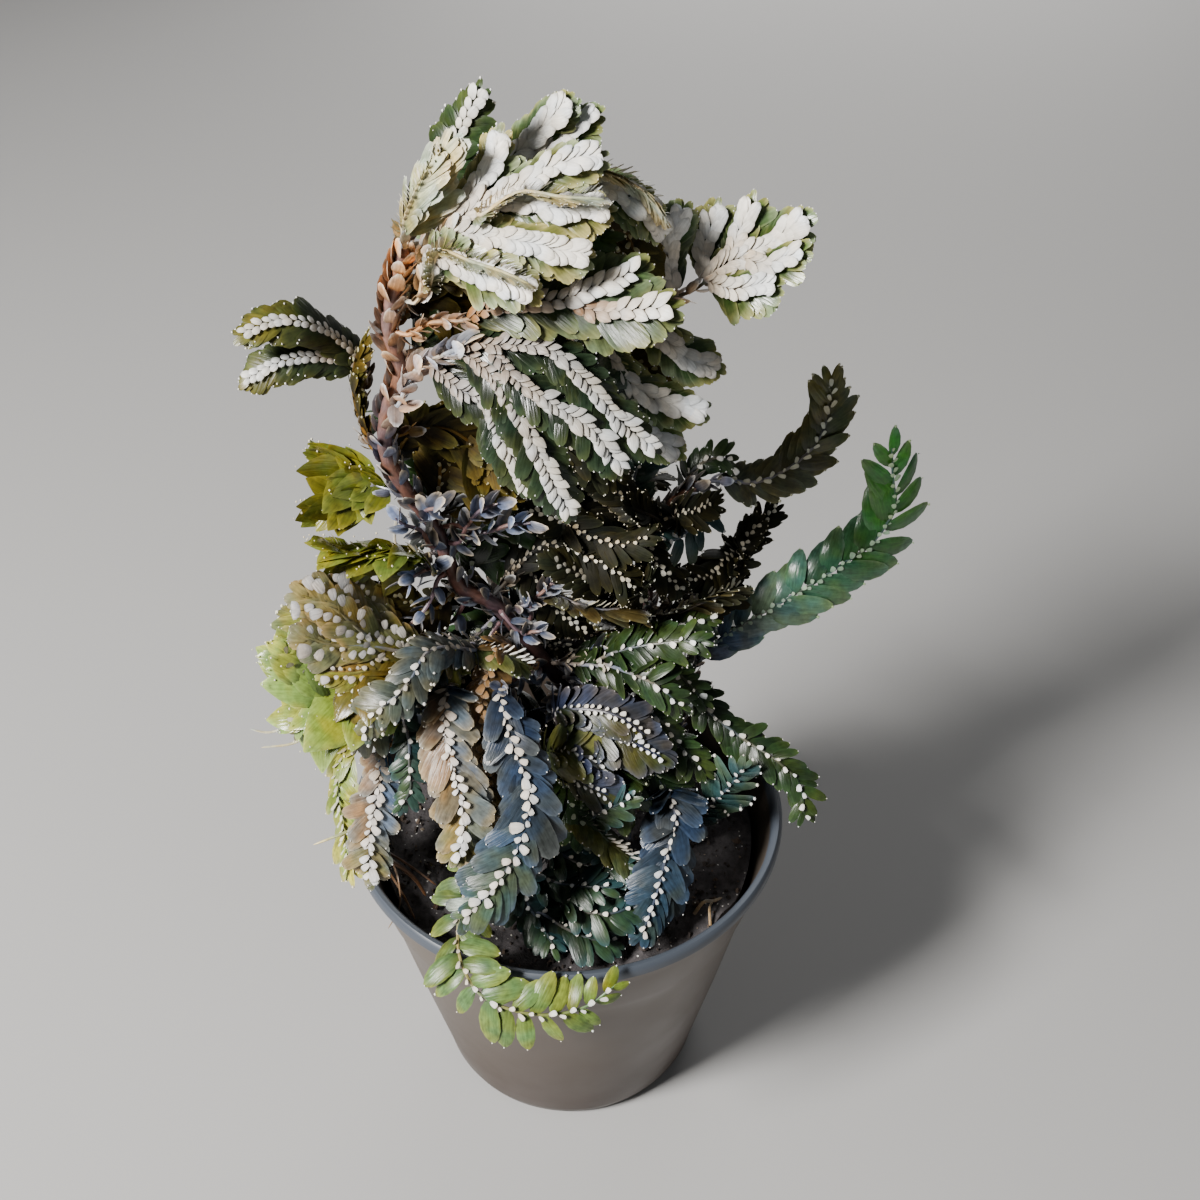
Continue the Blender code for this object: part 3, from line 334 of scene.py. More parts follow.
# The sprays that have a solid of their own.
SPRAYS = {
    "frond_left": Spray("main_stem", 0.72, "frond", 4.0, 16, [
        [(-34, 5, 160), (-34, 7, 165), (-33, 8, 170), (-37, 8, 176), (-41, 6, 180), (-46, 5, 181),
         (-51, 3, 180)],
        [0.45, (-38, 7, 173), (-45, 5, 174), (-52, 4, 171)]]),
    "frond_upright": Spray("main_stem", 1.0, "folded", 2.6, 3, [
        [(-23, -4, 200), (-21, -5, 206), (-18, -5, 211)],
        [0.15, (-20, -4, 203), (-18, -4, 208), (-16, -4, 213)]], (-0.85, -0.5, 0.1)),
    "frond_top": Spray("main_stem", 0.985, "top", 3.8, 7, [
        [(-22, 1, 199), (-18, 4, 204), (-15, 6, 210), (-11, 7, 217)]]),
    "fan_behind": Spray("main_stem", 0.955, "fan", 4.0, 17.3, [
        [(-22, 3, 193), (-18, 7, 196), (-11, 12, 201), (-4, 14, 207), (2, 14, 213)],
        [0.48, (-1, 13, 206), (6, 15, 211)],
        [0.16, (-14, 4, 198), (-6, 5, 203), (2, 3, 205), (9, 1, 204), (13, 0, 202), (16, 0, 198)]]),
    "fan_upper": Spray("main_stem", 0.945, "white_fan", 3.9, 20, [
        [(-19, -5, 198), (-15, -6, 202), (-11, -6, 205), (-5, -6, 208), (1, -6, 211), (6, -6, 212)],
        [0.4, (-12, -4, 206), (-9, -2, 210), (-8, -1, 213)],
        [0.55, (-5, -8, 206), (1, -10, 206), (7, -11, 206)],
        [0.38, (-10, -10, 202), (-4, -13, 202), (4, -15, 201)],
        [0.18, (-17, -9, 198), (-12, -13, 198), (-8, -16, 198), (-4, -18, 197)]]),
    "fan_right": Spray("main_stem", 0.865, "fan", 4.0, 53, [
        [(-19, 1, 178), (-9, 2, 179), (-3, 3, 179), (7, 3, 180), (14, 3, 182), (17, 2, 185),
         (22, 2, 187), (26, 1, 191), (30, 0, 194), (34, 0, 196), (38, -1, 200)],
        [0.66, (18, 5, 192), (20, 7, 198)],
        [0.74, (24, 5, 192), (26, 7, 198)],
        [0.81, (29, 3, 196), (31, 4, 200)],
        [0.84, (33, -4, 194), (37, -6, 197)],
        [0.74, (28, -4, 190), (33, -7, 192)],
        [0.57, (16, 0, 181), (20, -2, 178), (25, -4, 176)],
        [0.44, (8, -1, 177), (14, -5, 172), (23, -7, 170)],
        [0.4, (4, -3, 175), (10, -6, 168), (19, -9, 164)]]),
    "fan_centre": Spray("main_stem", 0.9, "braided", 4.8, 17, [
        [(-20, -6, 186), (-14, -9, 188), (-9, -11, 191), (-4, -12, 192), (1, -13, 193), (6, -13, 195),
         (12, -12, 197)],
        [0.74, (6, -15, 192), (11, -17, 193), (16, -18, 194)]]),
    "fan_front": Spray("main_stem", 0.815, "front_fan", 3.9, 25, [
        [(-23, -5, 177), (-18, -9, 182), (-14, -12, 185), (-8, -14, 186), (-2, -15, 186), (3, -18, 183),
         (8, -21, 178), (14, -23, 173)],
        [0.48, (-6, -18, 182), (0, -21, 179), (5, -23, 176), (9, -25, 171)],
        [0.26, (-16, -12, 178), (-11, -15, 176), (-9, -18, 172), (-5, -21, 165)],
        [0.4, (-9, -17, 181), (-5, -20, 175), (-2, -23, 169), (1, -25, 163)]]),
    "frond_olive": Spray("main_stem", 0.745, "olive", 4.5, 4, [
        [(-25, 5, 160), (-20, 7, 159), (-15, 7, 155), (-12, 6, 149)]], UNDERSIDE),
    "spray_left_top": Spray("main_stem", 0.66, "lobed", 4.2, 4, [
        [(-31, 6, 147), (-38, 9, 149), (-44, 11, 152)],
        [0.35, (-38, 8, 143), (-45, 8, 141)]], UNDERSIDE),
    "spray_left_mid": Spray("main_stem", 0.545, "lobed", 4.6, 4, [
        [(-25, 2, 134), (-31, 1, 137), (-38, 0, 138), (-43, -1, 141)]], (0.0, 0.3, 0.95)),
    "fan_left": Spray("main_stem", 0.31, "dotted", 3.4, 34, [
        [(-11, 3, 111), (-18, 0, 116), (-25, -3, 119), (-30, -5, 120), (-37, -5, 126), (-46, -5, 133)],
        [0.62, (-36, -1, 127), (-41, 1, 133)],
        [0.56, (-37, -8, 122), (-46, -9, 127)],
        [0.48, (-31, -9, 119), (-38, -13, 120), (-43, -14, 121)]]),
    "spray_left_under": Spray("fan_left", 0.42, "lime", 5.0, 9, [
        [(-28, 4, 109), (-38, 6, 109), (-45, 7, 114), (-52, 8, 117)],
        [0.55, (-43, 6, 103), (-52, 5, 99)]], UNDERSIDE),
    "spray_left_low": Spray("fan_left", 0.45, "leaden", 4.6, 6, [
        [(-29, -7, 115), (-32, -10, 111), (-35, -13, 108), (-40, -14, 103)],
        [0.45, (-38, -6, 105), (-46, -4, 102), (-53, -3, 96)]]),
    "spray_left_edge": Spray("soil", None, "lime", 3.8, 46, [
        [(-17, 8), (-26, 4, 84), (-37, 1, 93), (-43, -3, 92), (-45, -8, 87), (-44, -14, 80),
         (-43, -20, 75)]], (-0.6, -0.45, 0.5)),
    "spray_front_a": Spray("soil", None, "tan", 4.3, 56, [
        [(-14, 2), (-24, -4, 88), (-30, -7, 99), (-34, -12, 101), (-36, -17, 93), (-38, -21, 85),
         (-38, -25, 78)]], HANGING),
    "spray_front_b": Spray("soil", None, "tan", 5.3, 58, [
        [(-8, 0), (-18, -3, 88), (-21, -5, 105), (-22, -10, 113), (-22, -18, 109), (-20, -24, 102),
         (-19, -28, 96), (-20, -31, 91)]], HANGING),
    "spray_front_c": Spray("soil", None, "blue", 6.6, 62, [
        [(-1, -1), (-6, -4, 88), (-10, -6, 106), (-12, -12, 114), (-10, -20, 109), (-7, -25, 101),
         (-9, -31, 93), (-14, -36, 87), (-19, -39, 83)]], HANGING),
    "spray_trailing": Spray("fan_left", 0.24, "trailing", 6.0, 38, [
        [(-16, -7, 108), (-16, -14, 98), (-16, -19, 92), (-18, -26, 85), (-20, -31, 79), (-21, -36, 76),
         (-20, -43, 74), (-17, -47, 71), (-12, -49, 69), (-5, -50, 68), (3, -49, 69),
         (8, -47, 72)]], (0.0, -0.88, 0.47)),
    "spray_front_arch": Spray("soil", None, "lilac", 5.2, 30, [
        [(6, -1), (0, -2, 86), (0, -5, 96), (5, -9, 101), (11, -12, 101), (18, -15, 99)],
        [0.56, (-1, -10, 96), (2, -15, 94), (8, -18, 92)]]),
    "spray_front_d": Spray("soil", None, "slate", 5.6, 24, [
        [(19, 0), (19, -6, 79), (20, -13, 87), (21, -18, 85), (19, -23, 80), (17, -28, 75),
         (14, -33, 69)]], HANGING),
    "spray_front_e": Spray("soil", None, "sea", 4.4, 16, [
        [(25, -6), (26, -9, 74), (29, -12, 83), (32, -14, 90), (34, -15, 96)]]),
    "spray_front_f": Spray("soil", None, "fringed", 4.2, 30, [
        [(6, -9), (2, -10, 76), (0, -14, 84), (4, -18, 84), (8, -20, 81),
         (13, -22, 77)]], (0.3, 0.1, 0.95)),
    "spray_creeping_a": Spray("soil", None, "teal", 4.6, 13.3, [
        [(-10, -17), (-8, -19, 69), (-2, -22, 68), (4, -21, 68), (11, -20, 67)]], CREEPING),
    "spray_creeping_b": Spray("soil", None, "teal", 4.4, 11.7, [
        [(-9, -27), (-6, -28, 70), (-1, -31, 69), (4, -33, 68), (9, -33, 67)]], CREEPING),
    "spray_green": Spray("main_stem", 0.24, "green", 5.0, 14, [
        [(5, 3, 106), (12, -2, 115), (19, -4, 118), (26, -6, 120)],
        [0.42, (13, -6, 112), (17, -9, 112), (22, -11, 108)]]),
    "spray_over_rim": Spray("soil", None, "green", 5.4, 46, [
        [(20, 9), (17, 8, 90), (19, 5, 101), (24, 0, 102), (29, -4, 99), (35, -8, 96), (41, -12, 94),
         (45, -15, 91), (46, -19, 86)]]),
    "spray_green_low": Spray("soil", None, "green", 4.8, 34, [
        [(14, 3), (15, 1, 84), (18, -4, 95), (22, -9, 96), (27, -13, 92)]]),
    "branch_right": Spray("soil", None, "glossy", 7.2, 42, [
        [(26, 12), (25, 13, 88), (29, 13, 101), (35, 13, 107), (44, 14, 113), (55, 16, 120),
         (62, 18, 125), (65, 19, 132), (64, 20, 139), (63, 20, 145)]]),
    "branch_right_dark": Spray("back_stem", 1.0, "dusky", 5.6, 4, [
        [(32, 22, 137), (38, 24, 135), (45, 26, 137), (50, 27, 142), (52, 28, 148), (52, 29, 155)]]),
    "spray_right_back": Spray("back_stem", 0.52, "shade", 4.6, 8, [
        [(25, 24, 103), (32, 27, 109), (38, 29, 117), (44, 31, 124)],
        [0.5, (35, 22, 115), (34, 19, 122)]]),
    "spray_middle_a": Spray("back_stem", 0.8, "sea", 4.4, 6, [
        [(14, 21, 132), (15, 24, 139), (21, 26, 144)]]),
    "spray_middle_b": Spray("back_stem", 0.72, "shade", 5.4, 5, [
        [(11, 11, 130), (4, 9, 135), (-6, 9, 140)],
        [0.3, (8, 17, 132), (0, 19, 136)]]),
    "spray_middle_c": Spray("back_stem", 0.84, "shade", 5.0, 6, [
        [(21, 13, 135), (25, 9, 139), (28, 6, 143)],
        [0.3, (16, 8, 139), (12, 5, 143)]]),
    "spray_middle_d": Spray("back_stem", 0.64, "shaded_brown", 4.8, 6.3, [
        [(21, 14, 118), (26, 12, 121), (32, 12, 123)]]),
    "spray_middle_e": Spray("back_stem", 0.6, "shade", 5.4, 10, [
        [(11, 6, 119), (6, 2, 128), (-2, 1, 134)],
        [0.4, (14, 0, 127), (16, -4, 133)]]),
    "spray_middle_f": Spray("back_stem", 0.44, "shade_cream", 3.6, 12, [
        [(13, 13, 107), (7, 10, 112), (0, 7, 119)],
        [0.45, (20, 8, 114), (26, 5, 120), (33, 3, 125)]], (0.0, 0.5, 0.85)),
    "spray_shade": Spray("soil", None, "deep", 6.0, 19.3, [
        [(13, -3), (12, -3, 78), (11, -6, 87), (9, -11, 91), (10, -16, 89)]]),
    "back_upper": Spray("main_stem", 0.92, "fan", 3.8, 12, [
        [(-22, 6, 188), (-15, 14, 191), (-8, 22, 190), (-2, 30, 184)],
        [0.35, (-20, 17, 192), (-22, 25, 190)],
        [0.4, (-6, 14, 190), (3, 18, 187)]], BACKWARD),
    "back_left": Spray("main_stem", 0.6, "green", 4.6, 6, [
        [(-26, 11, 149), (-29, 20, 153), (-33, 28, 150), (-36, 34, 142)],
        [0.35, (-21, 19, 152), (-17, 27, 150)]], BACKWARD),
    "back_low": Spray("main_stem", 0.44, "green", 4.8, 6, [
        [(-15, 14, 125), (-20, 22, 127), (-26, 30, 122), (-30, 37, 112)]], BACKWARD),
    "back_middle": Spray("back_stem", 0.76, "shade", 5.0, 9, [
        [(13, 26, 126), (10, 34, 129), (7, 42, 124), (5, 47, 115)],
        [0.4, (17, 33, 130), (22, 40, 127)]], BACKWARD),
    "back_rim": Spray("soil", None, "teal", 5.6, 30, [
        [(2, 24), (0, 27, 84), (-5, 34, 96), (-13, 42, 97), (-19, 48, 89), (-22, 51, 79)]], BACKWARD),
    "back_right": Spray("soil", None, "green", 5.2, 22, [
        [(22, 26), (25, 29, 78), (31, 35, 87), (38, 41, 86), (42, 45, 78)]], BACKWARD),
}

# Small sprays that have no solid of their own. They fill the plant between the others.
SMALL_SPRAYS = {
    "arch_fringe": Spray("fan_behind", 0.2, "folded", 1.6, 8, [
        [(-12, 3, 202), (-6, 3, 206), (2, 1, 208), (9, -1, 207.5), (13.5, -2, 205),
         (16.5, -2, 201)]], (0.3, 0.5, 0.8)),
    "fan_fringe_low": Spray("fan_upper", 0.18, "folded", 1.2, 1.5, [
        [(-17, -10.5, 200), (-12, -14.5, 200), (-8, -17.5, 200), (-4, -19.5, 199)]], (0.3, 0.2, 0.9)),
    "fan_fringe_high": Spray("fan_upper", 0.55, "folded", 1.2, 1.5, [
        [(-5, -9.5, 208.5), (1, -11.5, 208.5), (7, -12.5, 208.5)]], (0.3, 0.2, 0.9)),
    "olive_upper": Spray("main_stem", 0.693, "olive", 4.6, 3, [
        [(-29, 8, 153), (-26, 9, 157), (-20, 9, 158), (-15, 8, 156), (-11, 6, 151)]], UNDERSIDE),
    "olive_lower": Spray("main_stem", 0.648, "olive", 4.4, 3, [
        [(-25, 8, 148), (-21, 8, 150), (-15, 7, 148), (-11, 6, 144)]], UNDERSIDE),
    "olive_band": Spray("main_stem", 0.729, "olive", 2.6, 3, [
        [(-34, 5, 161), (-35, 6, 166), (-34, 6, 173), (-32, 5, 177)]], (-0.7, -0.3, 0.4)),
    "golden_chain": Spray("main_stem", 0.34, "golden", 3.2, 11, [
        [(-12, -3.5, 117.5), (-15, -10.4, 113.2), (-15, -14.6, 105.4), (-15, -18.6, 98.4),
         (-16, -22.6, 90.4), (-17, -26.6, 83.4)]], HANGING),
    "fringed_spray": Spray("fan_left", 0.4, "fringed", 3.6, 2, [
        [(-18, -2, 117), (-14, -4, 117), (-10, -5, 116), (-7, -5, 114)]], (0.0, 0.1, 1.0)),
    "front_small": Spray("fan_left", 0.48, "teal", 3.0, 3, [
        [(-30, -14, 110), (-29, -17, 107), (-29, -20, 103), (-29, -22, 99), (-31, -24, 96)]], HANGING),
    "arch_low": Spray("spray_front_arch", 0.4, "fringed", 4.4, 2, [
        [(-3, -11, 97), (1, -13, 99), (5, -14, 97), (7, -15, 94)]]),
    "arch_top": Spray("spray_front_arch", 0.42, "lilac", 4.2, 2, [
        [(-1, -6, 103), (5, -8, 105), (10, -10, 105), (15, -12, 102)]]),
    "front_dark_left": Spray("main_stem", 0.2, "deep", 5.4, 6, [
        [(-1, -12, 88), (1, -16, 86), (4, -20, 83)]]),
    "front_dark": Spray("main_stem", 0.22, "deep", 6.0, 6, [
        [(7, -5, 94), (9, -10, 92), (10, -14, 89), (9, -17, 85)]]),
    "front_dark_right": Spray("main_stem", 0.215, "deep", 5.6, 6, [
        [(13, -3, 93), (16, -8, 91), (19, -12, 87), (20, -15, 83)]]),
    "teal_small": Spray("soil", None, "teal", 3.8, 12, [
        [(2, -13), (3, -16, 80), (6, -18, 87), (9, -19, 90), (12, -20, 93)]]),
    "creeping_back": Spray("soil", None, "teal", 4.4, 9, [
        [(-4, -15), (-2, -18, 76), (2, -20, 75), (7, -22, 76), (12, -23, 78)]], CREEPING),
    "creeping_middle": Spray("soil", None, "teal", 4.4, 9, [
        [(-8, -20), (-6, -22, 74), (-2, -24, 74), (3, -26, 75), (8, -27, 76)]], CREEPING),
    "creeping_front": Spray("soil", None, "teal", 4.2, 8, [
        [(-2, -26), (0, -28, 73), (4, -30, 72), (9, -30, 72), (14, -28, 73)]], CREEPING),
    "creeping_right": Spray("soil", None, "teal", 4.2, 8, [
        [(14, -14), (12, -16, 74), (8, -19, 78), (4, -20, 80)]], CREEPING),
    "creeping_left": Spray("soil", None, "teal", 4.6, 8, [
        [(-13, -20), (-10, -24, 74), (-8, -27, 71), (-5, -31, 69), (-3, -35, 68)]], CREEPING),
    "green_middle": Spray("main_stem", 0.32, "green", 4.4, 5, [
        [(7, 0, 109), (14, -3, 110), (19, -5, 108), (24, -7, 105)]]),
    "green_front": Spray("main_stem", 0.29, "green", 4.6, 6, [
        [(11, -2, 105), (15, -5, 103), (19, -7, 100), (22, -9, 96)]]),
    "green_right": Spray("spray_over_rim", 0.3, "green", 4.4, 2, [
        [(18, 0, 110), (23, -3, 108), (27, -6, 104)]]),
    "inner_left": Spray("main_stem", 0.38, "shade", 4.8, 3, [
        [(-12, 12, 117), (-20, 12, 118), (-27, 10, 116)]]),
    "inner_low": Spray("main_stem", 0.3, "deep", 5.0, 3, [
        [(-6, 14, 104), (-14, 15, 106), (-22, 15, 105)]]),
    "inner_front": Spray("main_stem", 0.24, "deep", 5.0, 3, [
        [(-5, 3, 95), (-12, 0, 97), (-20, -3, 96), (-27, -5, 92)]]),
    "under_upper": Spray("main_stem", 0.96, "olive", 4.4, 2, [
        [(-21, -1, 192), (-16, -3, 194), (-10, -5, 194), (-4, -6, 194), (2, -7, 193)]]),
    "under_fan": Spray("fan_upper", 0.3, "deep", 4.6, 2, [
        [(-13, -3, 198), (-7, -4, 199), (1, -5, 199), (7, -6, 200)]]),
    "under_arch": Spray("arch_fringe", 0.45, "olive", 4.4, 2, [
        [(2, 4, 202), (5, 4, 198), (9, 3, 195), (12, 2, 190)]]),
    "under_arch_right": Spray("arch_fringe", 0.7, "olive", 4.4, 2, [
        [(10, 2, 201), (11, 3, 197), (13, 2, 192), (14, 1, 187)]]),
    "under_right": Spray("fan_right", 0.3, "olive", 4.6, 2, [
        [(2, 4, 178), (6, 3, 176), (11, 2, 175), (17, 1, 172)]]),
    "under_front": Spray("fan_front", 0.5, "deep", 4.6, 2, [
        [(0, -10, 180), (4, -6, 177), (10, -6, 173), (14, -7, 168)]]),
    "left_ragged": Spray("main_stem", 0.566, "lobed", 4.4, 3, [
        [(-29, 3, 133), (-33, 2, 135), (-38, 1, 135), (-41, 0, 134)]], UNDERSIDE),
    "left_inner": Spray("main_stem", 0.5, "olive", 3.8, 2, [
        [(-25, 2, 122), (-30, 2, 125), (-33, 2, 128)]]),
    "left_sheet": Spray("fan_left", 0.5, "sheet", 4.4, 2, [
        [(-31, -10, 113), (-37, -12, 115), (-42, -14, 117), (-47, -14, 121), (-50, -13, 126)],
        [0.35, (-41, -14, 114), (-47, -15, 112), (-50, -16, 111)]], (-0.25, -0.2, 0.95)),
    "left_amber": Spray("fan_left", 0.48, "amber", 3.6, 9, [
        [(-30, -10, 119), (-34, -13, 119), (-39, -15, 117), (-43, -16, 115)]], (-0.2, -0.3, 0.93)),
    "left_leaden": Spray("fan_left", 0.4, "leaden", 4.0, 2, [
        [(-25.1, -13, 123.9), (-27.5, -17, 121.6), (-30.2, -19.5, 119.8), (-33.3, -20.5, 117.7),
         (-36.4, -21.5, 112.4)]]),
    "left_tip": Spray("fan_left", 0.5, "tipped", 3.4, 2, [
        [(-33, -8, 122), (-37, -9, 127), (-41, -9, 132), (-46, -9, 135)],
        [0.2, (-37, -10, 124), (-41, -11, 125), (-46, -12, 128)],
        [0.2, (-36, -6, 126), (-39, -6, 130), (-42, -6, 134)]]),
    "inner_top": Spray("main_stem", 0.9, "olive", 4.4, 2, [
        [(-23, 2, 187), (-18, 2, 185), (-12, 2, 182), (-6, 2, 180)]]),
    "inner_mid": Spray("main_stem", 0.86, "deep", 4.0, 2, [
        [(-22, 1, 181), (-17, 0, 180), (-12, -2, 179), (-8, -3, 176)]]),
    "gap_upper": Spray("main_stem", 0.43, "deep", 4.0, 2, [
        [(-18, 3, 114), (-22, 1, 113), (-26, -1, 110), (-29, -4, 108)]]),
    "gap_lower": Spray("main_stem", 0.396, "shade", 4.4, 2, [
        [(-16, 3, 109), (-20, 0, 106), (-22, -4, 103), (-23, -8, 102)]]),
    "gap_high": Spray("main_stem", 0.6, "deep", 4.6, 2, [
        [(-20, 8, 139), (-15, 9, 139), (-10, 9, 138), (-5, 9, 135)]]),
    "gap_stem": Spray("main_stem", 0.63, "olive", 4.4, 1, [
        [(-21, 8, 152), (-19, 8, 148), (-17, 8, 144), (-15, 8, 140)]]),
    "gap_fan": Spray("main_stem", 0.61, "shade", 6.2, 8, [
        [(-14, 9, 150), (-6, 9, 153), (0, 9, 154), (6, 8, 151), (11, 8, 148)]]),
    "gap_root": Spray("main_stem", 0.3, "shade", 5.4, 1, [
        [(-4, 9, 108), (0, 10, 106), (4, 10, 103), (8, 10, 101)]]),
    "gap_middle": Spray("main_stem", 0.5, "deep", 4.6, 2, [
        [(-17, 8, 130), (-13, 9, 129), (-9, 9, 127), (-4, 9, 124)]]),
    "green_far": Spray("main_stem", 0.315, "green", 4.2, 5, [
        [(8, 5, 109), (15, 4, 112), (23, 4, 116), (29, 4, 117)]]),
    "middle_row_top": Spray("main_stem", 0.555, "shaded_brown", 5.0, 7, [
        [(-7, 14, 137), (1, 8, 137), (6, 5, 136), (12, 3, 136), (16, 3, 138)]]),
    "middle_row_low": Spray("main_stem", 0.458, "shade", 4.8, 6, [
        [(-2, 6, 134), (5, 3, 133), (10, 1, 131), (13, 0, 128), (15, 0, 125)]]),
    "middle_row_right": Spray("back_stem", 0.6, "shade", 4.6, 14, [
        [(34, 16, 124), (31, 12, 125), (29, 9, 124), (25, 6, 125), (22, 4, 125)]]),
    "middle_dots": Spray("back_stem", 0.875, "shade", 4.6, 6, [
        [(15, 9, 135), (16, 6, 133), (18, 4, 130), (22, 2, 126)]]),
    "middle_fringe": Spray("main_stem", 0.428, "shade_cream", 3.8, 8, [
        [(-1, 3, 124), (2, 1, 124), (7, 0, 123), (12, 0, 123), (16, 0, 120)]], (0.0, 0.3, 0.95)),
    "middle_teal": Spray("back_stem", 0.985, "sea", 5.0, 3, [
        [(27, 20, 135), (26, 16, 133), (23, 12, 131), (19, 9, 132)]]),
    "middle_knot": Spray("back_stem", 0.92, "green", 3.8, 4, [
        [(24, 24, 131), (25, 24, 137), (28, 24, 140), (31, 24, 141), (34, 24, 138)]]),
    "middle_hook": Spray("back_stem", 0.69, "shade", 4.0, 8, [
        [(27, 12, 115), (32, 14, 119), (35, 16, 123), (37, 18, 127), (39, 19, 129)]]),
    "middle_brown": Spray("back_stem", 0.9, "shaded_brown", 4.8, 5, [
        [(22, 12, 135), (18, 12, 136), (13, 14, 138), (7, 16, 142)]]),
    "middle_low": Spray("main_stem", 0.332, "shaded_brown", 5.4, 5, [
        [(-1, 10, 107), (7, 10, 109), (17, 12, 109), (25, 14, 110), (35, 16, 115)]]),
    "middle_left": Spray("main_stem", 0.458, "shade", 4.8, 4, [
        [(-8, 8, 129), (-5, 7, 125), (-1, 6, 118), (4, 6, 113)]]),
    "middle_far": Spray("back_stem", 0.88, "shade", 5.2, 5, [
        [(15, 16, 132), (7, 18, 136), (0, 20, 141)]]),
}


def linear(code):
    """An sRGB hex colour as linear red, green and blue."""
    values = np.array([int(code[k:k + 2], 16) for k in (0, 2, 4)]) / 255
    return np.where(values <= 0.04045, values / 12.92, ((values + 0.055) / 1.055) ** 2.4)


def ramp(codes, share):
    """Colours read along evenly spaced hex colours, with share running from 0 to 1."""
    colours = np.array([linear(code) for code in codes])
    places = np.linspace(0, 1, len(codes))
    return np.column_stack([np.interp(share, places, colours[:, k]) for k in range(3)])


def unit(vectors):
    """Vectors scaled to length one."""
    return vectors / np.linalg.norm(vectors, axis=-1, keepdims=True)


def smooth_path(points):
    """A smooth curve through the points, read at CURVE_STEPS places in each stretch.

    The slope at a point is the mean of its two stretches' slopes, the shorter one counting more.
    """
    points = np.asarray(points, float)
    moves = np.diff(points, axis=0)
    reach = np.linalg.norm(moves, axis=1)[:, None]
    slopes = moves / reach
    inner = (slopes[:-1] * reach[1:] + slopes[1:] * reach[:-1]) / (reach[1:] + reach[:-1])
    slopes = np.vstack([slopes[:1], inner, slopes[-1:]])
    t = np.linspace(0, 1, CURVE_STEPS, endpoint=False)[:, None]
    stretches = []
    for start, move, length, leaving, coming in zip(points, moves, reach, slopes, slopes[1:]):
        bend = (t ** 3 - 2 * t ** 2 + t) * leaving + (t ** 3 - t ** 2) * coming
        stretches.append(start + (3 * t ** 2 - 2 * t ** 3) * move + bend * length)
    return np.vstack(stretches + [points[-1:]])


class Course:
    """The curve that a stem or rib follows, with the way its upper face looks at each place.

    The upper direction is set at the tip, square to the curve and nearest to the wanted face, or at
    the root, as the rib that this one forks from has it. It is carried along without twisting, and
    leans a little towards the wanted face on the way.
    """

    def __init__(self, points, face=FRONT, root_upper=None):
        self.points = smooth_path(points)
        steps = np.linalg.norm(np.diff(self.points, axis=0), axis=1)
        self.lengths = np.concatenate([[0.0], np.cumsum(steps)])
        self.total = self.lengths[-1]
        self.along = unit(np.gradient(self.points, self.lengths, axis=0))
        face = np.asarray(face, float)
        order = -1 if root_upper is None else 1
        upper = face if root_upper is None else root_upper
        uppers = []
        for direction in self.along[::order]:
            upper = upper + FACE_PULL * face
            upper = unit(upper - (upper @ direction) * direction)
            uppers.append(upper)
        self.upper = np.array(uppers[::order])

    def read(self, values, distances):
        """Values known along the curve, read at the given distances."""
        return np.column_stack([np.interp(distances, self.lengths, values[:, k]) for k in range(3)])

    def frames(self, distances):
        """Place, direction, sideways and upper directions at the given distances."""
        place = self.read(self.points, distances)
        along = unit(self.read(self.along, distances))
        upper = self.read(self.upper, distances)
        upper = unit(upper - np.sum(upper * along, axis=1)[:, None] * along)
        return place, along, np.cross(along, upper), upper


class Stock:
    """Closed grids gathered for one piece: rows along each grid, a ring of points in each row."""

    def __init__(self):
        self.points, self.tints, self.marks, self.loops, self.sizes = [], [], [], [], []
        self.count = 0

    def add(self, points, tints, marks):
        """Adds grids of shape (grids, rows, ring, 3), closed round the ring, with both ends capped."""
        grids, rows, ring = points.shape[:3]
        index = np.arange(grids * rows * ring).reshape(grids, rows, ring) + self.count
        following = np.roll(index, -1, axis=2)
        corners = [index[:, :-1], following[:, :-1], following[:, 1:], index[:, 1:]]
        quads = np.stack(corners, -1).reshape(-1, 4)
        caps = np.concatenate([index[:, 0, ::-1], index[:, -1]])
        self.loops += [quads.ravel(), caps.ravel()]
        self.sizes += [np.full(len(quads), 4), np.full(len(caps), ring)]
        self.points.append(points.reshape(-1, 3))
        self.tints.append(np.broadcast_to(tints, points.shape).reshape(-1, 3))
        self.marks.append(np.broadcast_to(marks, points.shape[:3] + (2,)).reshape(-1, 2))
        self.count += index.size

    def make(self, name, material, slot, *nodes):
        """One smooth piece of all the grids, with the tint as a colour and the marks as a UV map."""
        loops, sizes = np.concatenate(self.loops), np.concatenate(self.sizes)
        mesh = bpy.data.meshes.new(name)
        mesh.vertices.add(self.count)
        mesh.vertices.foreach_set("co", (np.concatenate(self.points) * MM).ravel())
        mesh.loops.add(len(loops))
        mesh.loops.foreach_set("vertex_index", loops)
        mesh.polygons.add(len(sizes))
        mesh.polygons.foreach_set("loop_start", np.cumsum(sizes) - sizes)
        mesh.update(calc_edges=True)
        tint = mesh.color_attributes.new("tint", "FLOAT_COLOR", "POINT")
        tints = np.column_stack([np.concatenate(self.tints), np.ones(self.count)])
        tint.data.foreach_set("color", tints.ravel())
        grain = mesh.uv_layers.new(name="grain")
        grain.data.foreach_set("uv", np.concatenate(self.marks)[loops].ravel())
        mesh.shade_smooth()
        mesh.set_sharp_from_angle(angle=SHARP_EDGE)
        mesh.materials.append(material)
        made = bpy.data.objects.new(name, mesh)
        bpy.context.scene.collection.objects.link(made)
        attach(made, "root")
        if nodes:
            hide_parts(*nodes)
        return made


